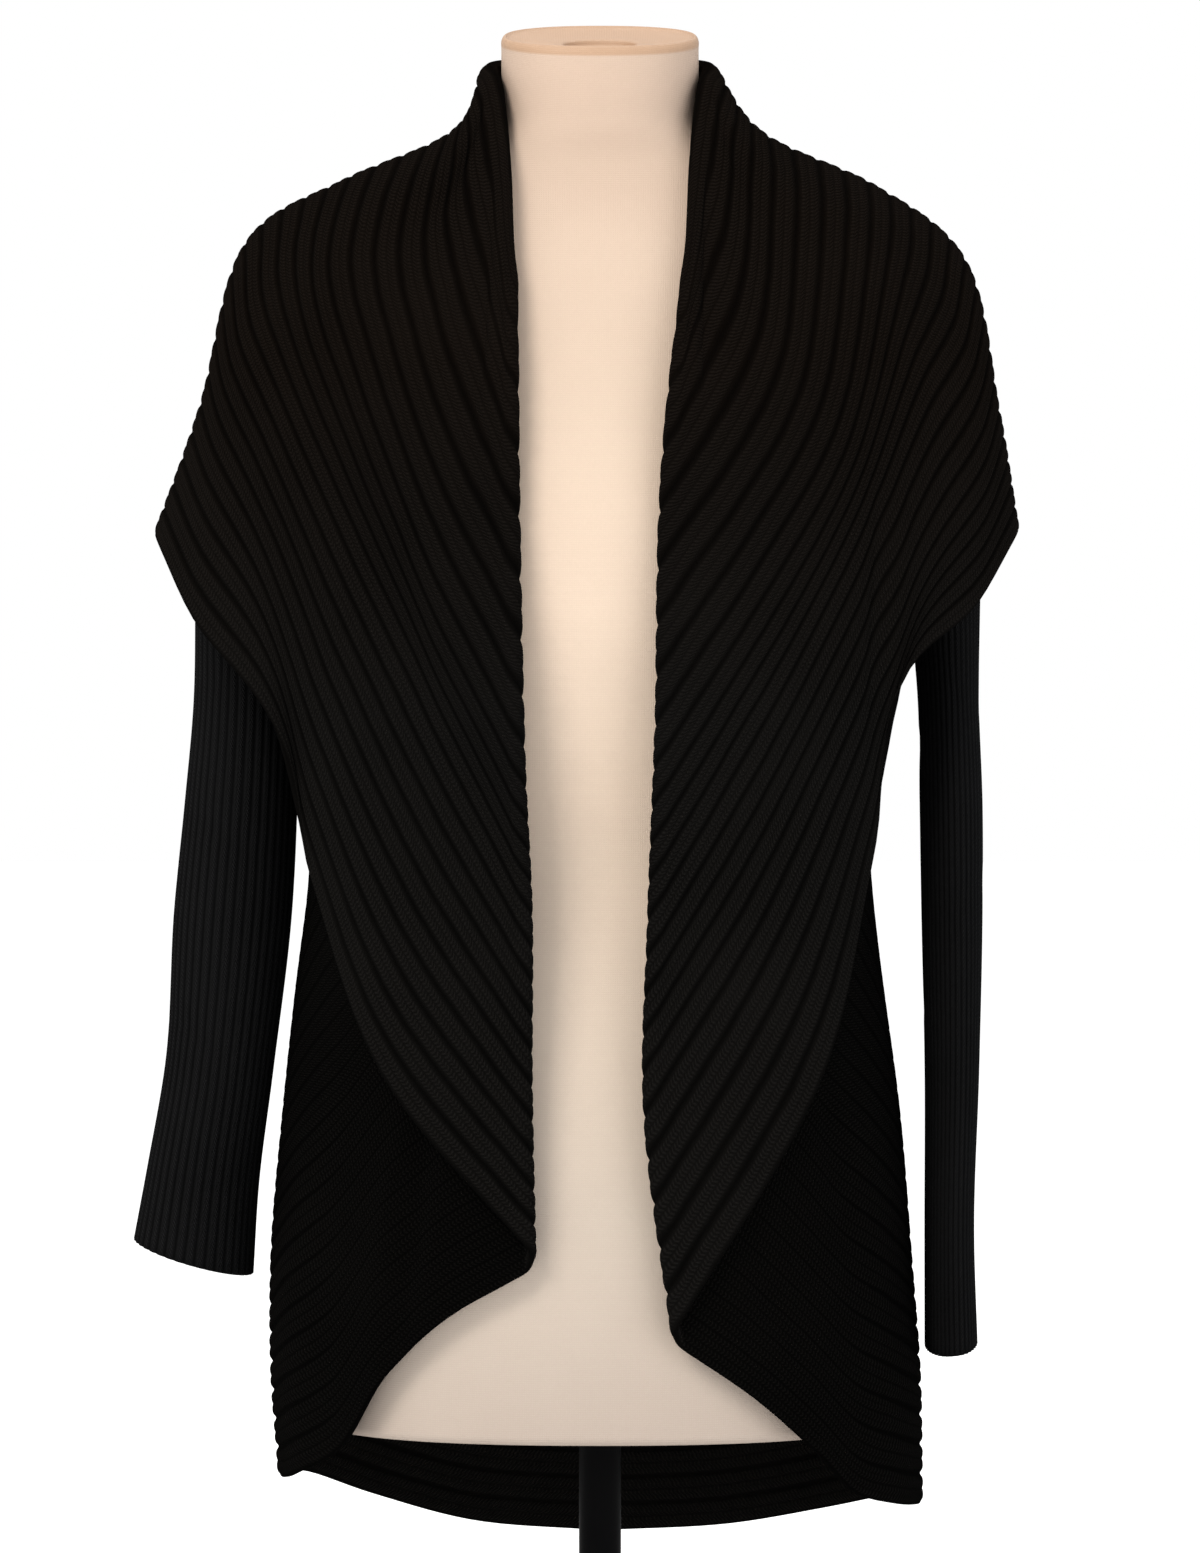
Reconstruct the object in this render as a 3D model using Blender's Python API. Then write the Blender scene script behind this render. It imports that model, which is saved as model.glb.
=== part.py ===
"""A rib-knit cocoon cardigan with a wide folded collar, worn by a limbless dress form on a round stand.

Millimetres until a mesh is made, +Z up, floor at z = 0. The front looks along -Y, so the
wearer's right is at -X. The band is one long ribbed strip sewn round the opening, modelled
as two half rings that meet at the centre back. Each half is a grid: a row follows one
half rib along the strip, a column crosses the strip. Rows from FOLD_ROW up turn over at
column FOLD, so the columns before it are the cape and those after it the layer beneath.
"""

import bpy
import numpy as np

for old in list(bpy.data.objects):
    bpy.data.objects.remove(old, do_unlink=True)

# Cloth
CLOTH = 2.4
RIB_HEIGHT = 1.4
SLEEVE_RIB_HEIGHT = 0.9
SEAM_GAP = 0.45
PANEL_INSET = 1.15
SHOULDER_INSET = 1.6
RIBS = 28
FOLD_RADIUS = 4.2
UNDER_CLEARANCE = 4.6
CHEST_CLEARANCE = 5.0
COLLAR_CLEARANCE = 2.6
ARMHOLE_GAP = 2.8
FOLD_FACE = FOLD_RADIUS + CLOTH / 2 + RIB_HEIGHT / 2

# Grid of one half band
ROWS = 2 * RIBS + 1
FOLD_ROW = 10
SHOULDER = 5
FOLD = 12
SIDE = 19
LAST = 23

# Heights of the ribs where the band passes the side seam and the centre back
SIDE_TOP = 655.0
SIDE_HEM = {"right": 213.0, "left": 197.0}
# Lower front edge: share of its drop to the side seam made by each column from the fold
EDGE_FALL = {
    "right": (0.0, 0.25, 0.50, 0.81, 0.93, 0.98, 1.0),
    "left": (0.0, 0.33, 0.61, 0.85, 0.93, 0.97, 1.0),
}
WAIST_BACK = 600.0
HEM_BACK = 159.0

# Dress form: height, half width, depth in front of and behind the axis
FORM_SECTIONS = (
    (244, 161, 106, 119),
    (340, 164, 108, 123),
    (430, 154, 104, 112),
    (500, 138, 96, 94),
    (562, 125, 88, 84),
    (640, 132, 101, 89),
    (700, 141, 116, 95),
    (760, 149, 124, 101),
    (850, 153, 104, 102),
    (880, 158, 92, 98),
    (905, 160, 80, 91),
    (922, 156, 70, 84),
    (932, 147, 64, 78),
    (940, 134, 59, 74),
    (948, 116, 56, 70),
    (955, 96, 54, 66),
    (962, 78, 53, 63),
    (970, 64, 53, 60),
    (978, 58, 53, 58),
    (988, 56, 54, 57),
    (1006, 56.2, 54.6, 56.6),
)
FORM_POWER = 2.3
# Room left inside those sections under the cloth of chest and shoulders: height, inset
FORM_ROOM = ((700, 0), (800, 4), (860, 5), (925, 7), (955, 5), (972, 1), (1006, 0))
NECK_TOP_FRONT = 1016.0
NECK_TOP_BACK = 1046.0
NECK_RIM = 1.5
FORM_AROUND = 30
# Neck top from the rim inward: share of the neck's radius, drop below the rim's plane
NECK_DISH = ((0.965, -1.2), (0.90, 0.6), (0.62, 2.6), (0.39, 3.4), (0.34, 7.0), (0.12, 8.0))

# Layer next to the form: height, half width right and left, front depth, back depth
UNDER_SECTIONS = (
    (150, 181, 181, 117, 131),
    (213, 181, 181, 117, 131),
    (270, 185, 180, 117, 131),
    (337, 185, 175, 118, 130),
    (421, 178, 168, 120, 123),
    (504, 169, 157, 122, 114),
    (560, 162, 151, 124, 109),
    (601, 162, 150, 126, 106),
    (660, 160, 152, 128, 106),
    (745, 158, 157, 129, 107),
    (800, 158, 158, 126, 109),
    (850, 161, 161, 112, 107),
    (908, 161, 161, 80, 92),
    (1060, 62, 62, 60, 62),
)
# Cape: height, half width right and left, front depth
CAPE_SECTIONS = (
    (300, 200, 196, 126),
    (348, 196, 190, 127),
    (437, 188, 180, 129),
    (500, 182, 172, 131),
    (557, 178, 171, 132),
    (600, 205, 190, 134),
    (652, 248, 226, 136),
    (700, 255, 236, 137),
    (750, 253, 240, 138),
    (823, 228, 226, 126),
    (870, 214, 213, 110),
    (914, 202, 204, 90),
    (938, 168, 172, 68),
    (951, 143, 150, 59),
    (983, 76, 86, 46),
    (1017, 66, 66, 36),
)
CAPE_POWER = 2.4
# How round the cape passes over the shoulder: 0.5 is a straight chord
OVER_SHOULDER = 0.67
CAPE_LIFT = 1.0

# Cape ribs as seen from the front, (distance from the middle, height) at the shoulder
# line, at four stations down the front and where the rib turns over at the fold
CAPE_RIBS = {
    "right": (
        (8, (74, 983), (79, 954), (84, 922), (78, 878), (63, 832), (44, 786)),
        (13, (141, 951), (146, 920), (149, 890), (129, 820), (88, 716), (41, 627)),
        (18, (201, 914), (195, 868), (178, 826), (139, 739), (86, 628), (37, 535)),
        (23, (226, 823), (212, 790), (187, 743), (151, 651), (98, 535), (37, 442)),
        (28, (253, 750), (224, 697), (184, 648), (159, 553), (112, 437), (35, 348)),
    ),
    "left": (
        (8, (84, 981), (83, 954), (82, 922), (76, 872), (56, 826), (34, 786)),
        (13, (152, 948), (150, 924), (146, 884), (130, 805), (84, 722), (30, 638)),
        (18, (207, 905), (198, 868), (177, 829), (141, 741), (86, 634), (26, 532)),
        (23, (226, 820), (212, 784), (181, 736), (139, 645), (84, 526), (24, 426)),
        (28, (238, 752), (208, 706), (169, 669), (149, 560), (116, 434), (39, 306)),
    ),
}
# Cape at the centre back: rib, depth behind the axis, height
CAPE_BACK = ((8, 82, 984), (13, 101, 912), (18, 118, 838), (23, 122, 767), (28, 124, 696))

# Fold round the neck: column, distance from the middle, depth (front is negative), height
NECK_FOLD = (
    (0, 0, 70, 1024),
    (2.5, 47, 50, 1021),
    (5, 62, 4, 1011),
    (7.5, 60, -27, 997),
    (10, 56.5, -48, 965),
    (12, 51, -93, 890),
)
# Seam that joins the band to the body: column, distance from the middle, depth, height
BODY_SEAM = (
    (0, 0, 65, 975),
    (2.5, 46, 48, 973),
    (5, 67, 3, 969),
    (8.5, 101, 0, 959),
    (12, 138, 0, 943),
    (13, 154, 0, 932.5),
    (14, 167, 0, 918),
    (15.2, 161, -38, 885),
    (16.3, 157, -51, 825),
    (17.6, 159, -24, 762),
    (19, 160, 0, 655),
)
# Back of the armhole: share of the way down, distance from the middle, depth, height
BACK_ARMHOLE = ((0, 167, 0, 918), (0.3, 160, 44, 880), (0.65, 157, 53, 815), (1, 159, 24, 757))

# Largest folds of the layer beneath: turn round the body, width, depth, top, bottom
UNDER_FOLDS = {
    "right": ((0.50, 0.045, 7.0, 460, 290), (0.72, 0.06, -4.0, 480, 260)),
    "left": ((0.60, 0.06, 5.0, 430, 250),),
}

# Sleeves below the cap: height, inner and outer edge from the middle, half depth
SLEEVES = {
    "right": (
        (718, 174, 230, 47),
        (652, 172, 231, 49),
        (595, 173, 236, 50),
        (534, 176, 242, 50),
        (444, 187, 247, 50),
        (383, 195, 257, 49),
        (337, 198, 265, 49),
    ),
    "left": (
        (718, 176, 216, 50),
        (652, 182, 215, 53),
        (595, 183, 217, 55),
        (534, 184, 217, 56),
        (444, 186, 215, 57),
        (350, 186, 212, 57),
        (287, 186, 214, 57),
    ),
}
CUFF_RISE = {"right": 10.0, "left": 3.0}
SLEEVE_RIBS = 37
CAP_RINGS = 4
SLEEVE_RINGS = 5

# Back panel: rows, how much closer they are at the neck, the band's columns that its top
# edge follows, and the parts each span of its waist edge is cut in
PANEL_ROWS = 9
PANEL_CROWD = 1.5
PANEL_TOP_COLUMNS = (0, 1, 2, 3, 4, 5, 6, 8, 10, 12, 13, 14)
PANEL_WAIST_PARTS = (3, 3, 3, 2)
PANEL_ARMHOLE_POINTS = 6

# Stand
POLE_RADIUS = 12.0
FLANGE_RADIUS = 45.0
FLANGE_THICKNESS = 6.0
BASE_RADIUS = 160.0
BASE_THICKNESS = 10.0
BASE_BEVEL = 2.0
POLE_AROUND = 24
BASE_AROUND = 40
REST_GAP = 0.4


def smooth(at, values, where):
    """Cubic curve through the values, whose slope at each is that between its neighbours."""
    at = np.asarray(at, float)
    values = np.asarray(values, float)
    where = np.clip(np.asarray(where, float), at[0], at[-1])
    slope = np.gradient(values, at, axis=0, edge_order=1)
    k = np.clip(np.searchsorted(at, where, side="right") - 1, 0, len(at) - 2)
    step = at[k + 1] - at[k]
    t = (where - at[k]) / step
    extra = (slice(None),) * where.ndim + (None,) * (values.ndim - 1)
    t, step = t[extra], step[extra]
    low, high = values[k], values[k + 1]
    return (
        (2 * t**3 - 3 * t**2 + 1) * low
        + (t**3 - 2 * t**2 + t) * step * slope[k]
        + (3 * t**2 - 2 * t**3) * high
        + (t**3 - t**2) * step * slope[k + 1]
    )


def column(table, k, where):
    """One named column of a table, read smoothly at the given heights or stations."""
    return smooth([row[0] for row in table], [row[k] for row in table], where)


def superellipse(x, width, depth, power):
    """Depth of a superellipse at a distance x from its middle."""
    share = np.clip(np.abs(x) / width, 0.0, 0.999)
    return depth * (1 - share**power) ** (1 / power)


def unit(vectors):
    return vectors / np.linalg.norm(vectors, axis=-1, keepdims=True)


def form_radius(x, y, z):
    """How far the dress form reaches from its axis at this height, toward a point."""
    width = column(FORM_SECTIONS, 1, z)
    depth = np.where(y < 0, column(FORM_SECTIONS, 2, z), column(FORM_SECTIONS, 3, z))
    across = np.abs(x / width) ** FORM_POWER + np.abs(y / depth) ** FORM_POWER
    reach = across ** (1 / FORM_POWER)
    return np.hypot(x, y) / np.maximum(reach, 1e-6)


def push_out(points, clearance):
    """Moves points along the dress form's own slope until they clear it."""
    x, y, z = np.moveaxis(np.array(points, float), -1, 0)
    for _ in range(5):
        radius = np.hypot(x, y) + 1e-6
        slope = (form_radius(x, y, z + 1) - form_radius(x, y, z - 1)) / 2
        steep = np.sqrt(1 + slope**2)
        short = np.maximum(clearance - (radius - form_radius(x, y, z)) / steep, 0.0) / steep
        x, y, z = x + x / radius * short, y + y / radius * short, z - slope * short
    return np.stack([x, y, z], axis=-1)


def under_size(side, z):
    width = column(UNDER_SECTIONS, 1 if side == "right" else 2, z)
    return width, column(UNDER_SECTIONS, 3, z), column(UNDER_SECTIONS, 4, z)


def under_front(side, x, z):
    """Depth of the layer beneath at a point of the front."""
    width, front, _ = under_size(side, z)
    form = superellipse(x, column(FORM_SECTIONS, 1, z), column(FORM_SECTIONS, 2, z), FORM_POWER)
    loose = superellipse(x, width, front, FORM_POWER)
    return np.logaddexp(loose / 2, (form + CHEST_CLEARANCE) / 2) * 2


def under_turn(side, turn, z):
    """Point of the layer beneath: turn 0 is the front, 1 the side seam, 2 the centre back."""
    width, front, back = under_size(side, z)
    angle = turn * np.pi / 2
    x = width * np.abs(np.sin(angle)) ** (2 / FORM_POWER)
    level = np.abs(np.cos(angle)) ** (2 / FORM_POWER)
    y = np.where(turn < 1, -front, back) * level
    points = np.stack([x, y, z + 0 * x], axis=-1)
    for centre, spread, depth, top, bottom in UNDER_FOLDS[side]:
        fade = np.clip((top - z) / (top - bottom), 0, 1)
        scale = depth * np.exp(-(((turn - centre) / spread) ** 2)) * fade
        away = unit(points * np.array([1.0, 1.0, 0.0]) + 1e-9)
        points = points - away * scale[..., None]
    return push_out(points, UNDER_CLEARANCE + 2)


def cape_front(side, x, z):
    """Depth of the cape at a point of the front, always clear of the layer beneath."""
    own = superellipse(
        x,
        column(CAPE_SECTIONS, 1 if side == "right" else 2, z),
        column(CAPE_SECTIONS, 3, z),
        CAPE_POWER,
    )
    beneath = under_front(side, x, z) + 2 * FOLD_RADIUS + CAPE_LIFT
    return np.logaddexp(own / 4, beneath / 4) * 4


def fold_rows(side):
    """The line the band turns over on, down the front: one point for each row from FOLD_ROW."""
    ribs = [FOLD_ROW / 2] + [row[0] for row in CAPE_RIBS[side]]
    x = [NECK_FOLD[-1][1]] + [row[6][0] + FOLD_FACE for row in CAPE_RIBS[side]]
    z = [NECK_FOLD[-1][3]] + [row[6][1] for row in CAPE_RIBS[side]]
    row_ribs = np.arange(FOLD_ROW, ROWS) / 2
    xz = smooth(ribs, np.array([x, z]).T, row_ribs)
    y = -(under_front(side, xz[:, 0], xz[:, 1]) + FOLD_RADIUS)
    y[0] = NECK_FOLD[-1][2]
    return np.stack([xz[:, 0], y, xz[:, 1]], axis=-1)


def fold_frame(line):
    """For each point of the fold: the way out of the cloth and the way past the fold."""
    along = unit(np.gradient(line, axis=0))
    out = line * np.array([0.35, 1.0, 0.0])
    out[0] = (0.0, 1.0, 0.0)
    out[: SHOULDER + 2] = line[: SHOULDER + 2] * np.array([1.0, 1.0, 0.0])
    out = unit(out - (out * along).sum(axis=1, keepdims=True) * along)
    past = np.cross(along, out)
    return out, past * np.sign(past[0, 2])


def under_row_line(side, share, start):
    """The columns past the fold of one rib: down the front, round the side, to the back."""
    count = SIDE - FOLD - 1
    width, _, _ = under_size(side, start[2])
    first = np.arcsin(min(abs(start[0]) / width, 1.0) ** (FORM_POWER / 2)) * 2 / np.pi
    ahead = np.arange(count + 1) / count
    side_z = SIDE_TOP + (SIDE_HEM[side] - SIDE_TOP) * share
    back_z = WAIST_BACK + (HEM_BACK - WAIST_BACK) * share
    behind = np.arange(1, LAST - SIDE + 1) / (LAST - SIDE)
    turn = np.concatenate([first + (1 - first) * ahead, 1 + behind])
    ease = 0.5 - 0.5 * np.cos(np.pi * behind)
    fall = (1 - share**2) * ahead**0.92 + share**2 * np.array(EDGE_FALL[side])
    down = start[2] + (side_z - start[2]) * fall
    return under_turn(side, turn, np.concatenate([down, side_z + (back_z - side_z) * ease]))


def seam_line(side):
    """The sewn inner edge of the band, one point for each column."""
    columns = [row[0] for row in BODY_SEAM]
    front = smooth(columns, [row[1:] for row in BODY_SEAM], np.arange(SIDE + 1))
    behind = np.arange(1, LAST - SIDE + 1) / (LAST - SIDE)
    ease = 0.5 - 0.5 * np.cos(np.pi * behind)
    z = SIDE_TOP + (WAIST_BACK - SIDE_TOP) * ease
    line = np.concatenate([front, under_turn(side, 1 + behind, z)])
    line[SIDE] = under_turn(side, np.array([1.0]), np.array([SIDE_TOP]))[0]
    return push_out(line, UNDER_CLEARANCE)


def cape_control(side, over):
    """Control rows of the cape: the first turns over at the neck, then one for each named rib."""
    ribs = [(FOLD_ROW + 1) / 2] + [row[0] for row in CAPE_RIBS[side]]
    control = np.zeros((len(ribs), FOLD - 1, 3))
    control[0] = over[: FOLD - 1]
    half_wall = CLOTH / 2 + RIB_HEIGHT / 2
    for k, (row, back) in enumerate(zip(CAPE_RIBS[side], CAPE_BACK)):
        side_x, side_z = row[1][0] - half_wall, row[1][1] - half_wall / 2
        behind = np.arange(SHOULDER + 1) / SHOULDER * np.pi / 2
        x = side_x * np.sin(behind) ** (2 / CAPE_POWER)
        y = back[1] * np.cos(behind) ** (2 / CAPE_POWER)
        z = back[2] + (side_z - back[2]) * np.sin(behind) ** 2
        control[k + 1, : SHOULDER + 1] = np.stack([x, y, z], axis=-1)
        front = np.array(row[2:6], float)
        y = -cape_front(side, front[:, 0], front[:, 1])
        control[k + 1, SHOULDER + 2 :] = np.stack([front[:, 0], y, front[:, 1]], axis=-1)
        at_side, at_front = control[k + 1, SHOULDER], control[k + 1, SHOULDER + 2]
        across = OVER_SHOULDER * at_side + (1 - OVER_SHOULDER) * at_front
        across[1] = OVER_SHOULDER * at_front[1]
        control[k + 1, SHOULDER + 1] = across
    return ribs, control


def band_middle(side):
    """The middle surface of one half of the band, as rows by columns of points."""
    grid = np.zeros((ROWS, LAST + 1, 3))
    columns = [row[0] for row in NECK_FOLD]
    neck = smooth(columns, [row[1:] for row in NECK_FOLD], np.arange(FOLD + 1))
    line = np.concatenate([neck, fold_rows(side)[1:]])
    out, past = fold_frame(line)
    over = line + out * FOLD_RADIUS
    turned = line + past * FOLD_RADIUS
    below = line - out * FOLD_RADIUS
    # Cape: every row between its control ribs
    rows = np.arange(FOLD_ROW + 1, ROWS)
    ribs, control = cape_control(side, over)
    grid[rows, : FOLD - 1] = smooth(ribs, control, rows / 2)
    # The turn itself
    grid[FOLD_ROW, : FOLD + 1] = turned[: FOLD + 1]
    grid[rows, FOLD - 1] = over[FOLD + 1 :]
    grid[rows, FOLD] = turned[FOLD + 1 :]
    # The layer beneath, from the fold to the centre back of the hem
    for row in range(FOLD_ROW, ROWS):
        start = below[FOLD + row - FOLD_ROW]
        grid[row, FOLD + 1 :] = under_row_line(side, row / (ROWS - 1), start)
        grid[row, FOLD + 1] = start
    # From the sewn edge up to the fold, and down the front beside the armhole
    seam = seam_line(side)
    for row in range(FOLD_ROW):
        stand = row / (FOLD_ROW - 1)
        hug = stand**0.55
        rise = row / FOLD_ROW
        share = np.array([hug, hug, stand])
        grid[row, : FOLD + 1] = seam[: FOLD + 1] * (1 - share) + below[: FOLD + 1] * share
        grid[row, FOLD + 1 :] = seam[FOLD + 1 :] * (1 - rise) + grid[FOLD_ROW, FOLD + 1 :] * rise
    grid[:FOLD_ROW, : FOLD - 2] = push_out(grid[:FOLD_ROW, : FOLD - 2], COLLAR_CLEARANCE)
    grid[1:FOLD_ROW, FOLD - 2 :] = push_out(grid[1:FOLD_ROW, FOLD - 2 :], CHEST_CLEARANCE)
    grid[:, 0, 0] = SEAM_GAP / 2
    grid[:, LAST, 0] = SEAM_GAP / 2
    return grid


def grid_normals(grid, closed):
    """Unit normals of a grid of points; with closed, its columns run round a tube."""
    down = np.gradient(grid, axis=0)
    if closed:
        across = (np.roll(grid, -1, axis=1) - np.roll(grid, 1, axis=1)) / 2
    else:
        across = np.gradient(grid, axis=1)
    return unit(np.cross(down, across))


def new_object(name, points, faces, colour, roughness):
    """A closed mesh in metres with its own plain material."""
    mesh = bpy.data.meshes.new(name)
    mesh.from_pydata((np.asarray(points) / 1000).tolist(), [], faces)
    mesh.validate()
    material = bpy.data.materials.new(name)
    material.use_nodes = True
    shader = material.node_tree.nodes["Principled BSDF"]
    shader.inputs["Base Color"].default_value = (*colour, 1.0)
    shader.inputs["Roughness"].default_value = roughness
    mesh.materials.append(material)
    made = bpy.data.objects.new(name, mesh)
    bpy.context.scene.collection.objects.link(made)
    return made


def wall_faces(rows, columns, closed):
    """Quads of one face of a wall, listed by row and column."""
    faces = []
    for r in range(rows - 1):
        for c in range(columns if closed else columns - 1):
            n = (c + 1) % columns
            here, beyond = r * columns, (r + 1) * columns
            faces.append((here + c, here + n, beyond + n, beyond + c))
    return faces


def thick_sheet(name, first, second, colour):
    """Closes the space between two faces of a wall given as grids of the same size."""
    rows, columns, _ = first.shape
    shift = rows * columns
    points = np.concatenate([first.reshape(-1, 3), second.reshape(-1, 3)])
    sheet = wall_faces(rows, columns, False)
    faces = list(sheet)
    faces += [tuple(k + shift for k in reversed(face)) for face in sheet]
    rim = []
    for c in range(columns - 1):
        rim.append((c + 1, c))
        rim.append(((rows - 1) * columns + c, (rows - 1) * columns + c + 1))
    for r in range(rows - 1):
        rim.append((r * columns, (r + 1) * columns))
        rim.append(((r + 1) * columns + columns - 1, r * columns + columns - 1))
    faces += [(a, b, b + shift, a + shift) for a, b in rim]
    return new_object(name, points, facing_out(points, faces), colour, 0.85)


def facing_out(points, faces):
    """Turns every face round when together they close an inside-out body."""
    volume = 0.0
    for face in faces:
        a = points[face[0]]
        for k in range(1, len(face) - 1):
            volume += np.dot(a, np.cross(points[face[k]], points[face[k + 1]]))
    return faces if volume > 0 else [tuple(reversed(face)) for face in faces]


def ribbed_tube(name, outer, inner, colour):
    """A tube whose ribbed outside has twice as many points round it as its plain inside."""
    rings, around, _ = outer.shape
    half = around // 2
    shift = rings * around
    points = np.concatenate([outer.reshape(-1, 3), inner.reshape(-1, 3)])
    faces = wall_faces(rings, around, True)
    faces += [tuple(k + shift for k in reversed(face)) for face in wall_faces(rings, half, True)]
    for ring, turned in ((0, False), (rings - 1, True)):
        for k in range(half):
            here, ahead = shift + ring * half + k, shift + ring * half + (k + 1) % half
            a, b, c = (ring * around + (2 * k + step) % around for step in range(3))
            for face in ((here, b, a), (here, ahead, b), (ahead, c, b)):
                faces.append(tuple(reversed(face)) if turned else face)
    return new_object(name, points, facing_out(points, faces), colour, 0.85)


def mirrored(points, side):
    """Pieces are worked out at +X; the wearer's right lies at -X."""
    return points * np.array([-1.0 if side == "right" else 1.0, 1.0, 1.0])


def band(side, colour):
    middle = band_middle(side)
    normal = grid_normals(middle, False)
    for edge in (0, LAST):
        normal[:, edge, 0] = 0.0
    normal = unit(normal)
    if normal[ROWS // 2, SHOULDER + 1, 0] < 0:
        normal = -normal
    ridge = (np.arange(ROWS) % 2 * RIB_HEIGHT)[:, None]
    cape = np.zeros((ROWS, LAST + 1))
    cape[FOLD_ROW:, : FOLD + 1] = 1.0
    cape[ROWS * 3 // 5 :, SIDE + 2 :] = 1.0
    beneath = np.zeros((ROWS, LAST + 1))
    beneath[FOLD_ROW + 6 :, FOLD + 1 :] = 1.0
    beneath[:, SIDE:] = 1.0
    outer = middle + normal * (CLOTH / 2 + ridge * cape)[..., None]
    inner = middle - normal * (CLOTH / 2 + ridge * beneath)[..., None]
    thick_sheet("band_" + side, mirrored(outer, side), mirrored(inner, side), colour)


def toward(edge, inside, distance):
    return edge + unit(inside - edge) * distance


def spread(line, count, crowd=1.0):
    """Points along a line of straight spans; a crowd above 1 sets them closer at its start."""
    far = np.concatenate([[0], np.cumsum(np.linalg.norm(np.diff(line, axis=0), axis=1))])
    where = np.linspace(0, 1, count) ** crowd * far[-1]
    return np.stack([np.interp(where, far, line[:, k]) for k in range(3)], axis=-1)


def back_panel(colour):
    """The back from neck to waist, filled in between its four edges."""
    half = {}
    for side in ("right", "left"):
        seam = seam_line(side)
        shares = [row[0] for row in BACK_ARMHOLE]
        armhole = smooth(shares, [row[1:] for row in BACK_ARMHOLE], np.linspace(0, 1, PANEL_ARMHOLE_POINTS))
        sewn_side = np.concatenate([armhole, seam[SIDE : SIDE + 1]])
        waist = [seam[SIDE:][k : k + 2] for k in range(LAST - SIDE)]
        waist = [spread(span, cuts + 1)[:-1] for span, cuts in zip(waist, PANEL_WAIST_PARTS)]
        waist.append(seam[-1:])
        top = seam[list(PANEL_TOP_COLUMNS)]
        parts = (top, push_out(sewn_side, UNDER_CLEARANCE), np.concatenate(waist))
        half[side] = [mirrored(part, side) for part in parts]
    top = np.concatenate([half["right"][0][::-1], half["left"][0][1:]])
    bottom = np.concatenate([half["right"][2], half["left"][2][::-1][1:]])
    right, left = (spread(half[side][1], PANEL_ROWS, PANEL_CROWD) for side in ("right", "left"))
    high, wide = PANEL_ROWS, len(PANEL_TOP_COLUMNS) - 1
    u = np.linspace(0, 1, 2 * wide + 1)[None, :, None]
    v = np.linspace(0, 1, high)[:, None, None] ** PANEL_CROWD
    grid = (1 - v) * top[None] + v * bottom[None] + (1 - u) * right[:, None] + u * left[:, None]
    grid -= (1 - u) * (1 - v) * top[0] + u * (1 - v) * top[-1]
    grid -= (1 - u) * v * bottom[0] + u * v * bottom[-1]
    inner = grid[1:-1, 1:-1]
    x, z = inner[..., 0], inner[..., 2]
    close = superellipse(x, column(FORM_SECTIONS, 1, z), column(FORM_SECTIONS, 3, z), FORM_POWER)
    close += UNDER_CLEARANCE
    loose = superellipse(x, under_size("right", z)[0], column(UNDER_SECTIONS, 4, z), FORM_POWER)
    lower = np.clip(v[1:-1, :, 0] * 1.3 - 0.3, 0, 1) ** 1.5
    filled = close + (np.maximum(loose, close) - close) * lower
    beside = np.abs(2 * u[:, 1:-1, 0] - 1) ** 5
    inner[..., 1] = filled + (inner[..., 1] - filled) * beside
    grid = push_out(grid, UNDER_CLEARANCE)
    for edge, inside in ((0, 1), (-1, -2)):
        grid[edge] = toward(grid[edge], grid[inside], PANEL_INSET)
        grid[:, edge] = toward(grid[:, edge], grid[:, inside], PANEL_INSET)
    grid[0, :, 1] += SHOULDER_INSET * np.clip(np.abs(grid[0, :, 0]) / 80 - 1, 0, 1)
    normal = grid_normals(grid, False)
    if normal[high // 2, wide, 1] < 0:
        normal = -normal
    thick_sheet("back_panel", grid + normal * CLOTH / 2, grid - normal * CLOTH / 2, colour)


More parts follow.
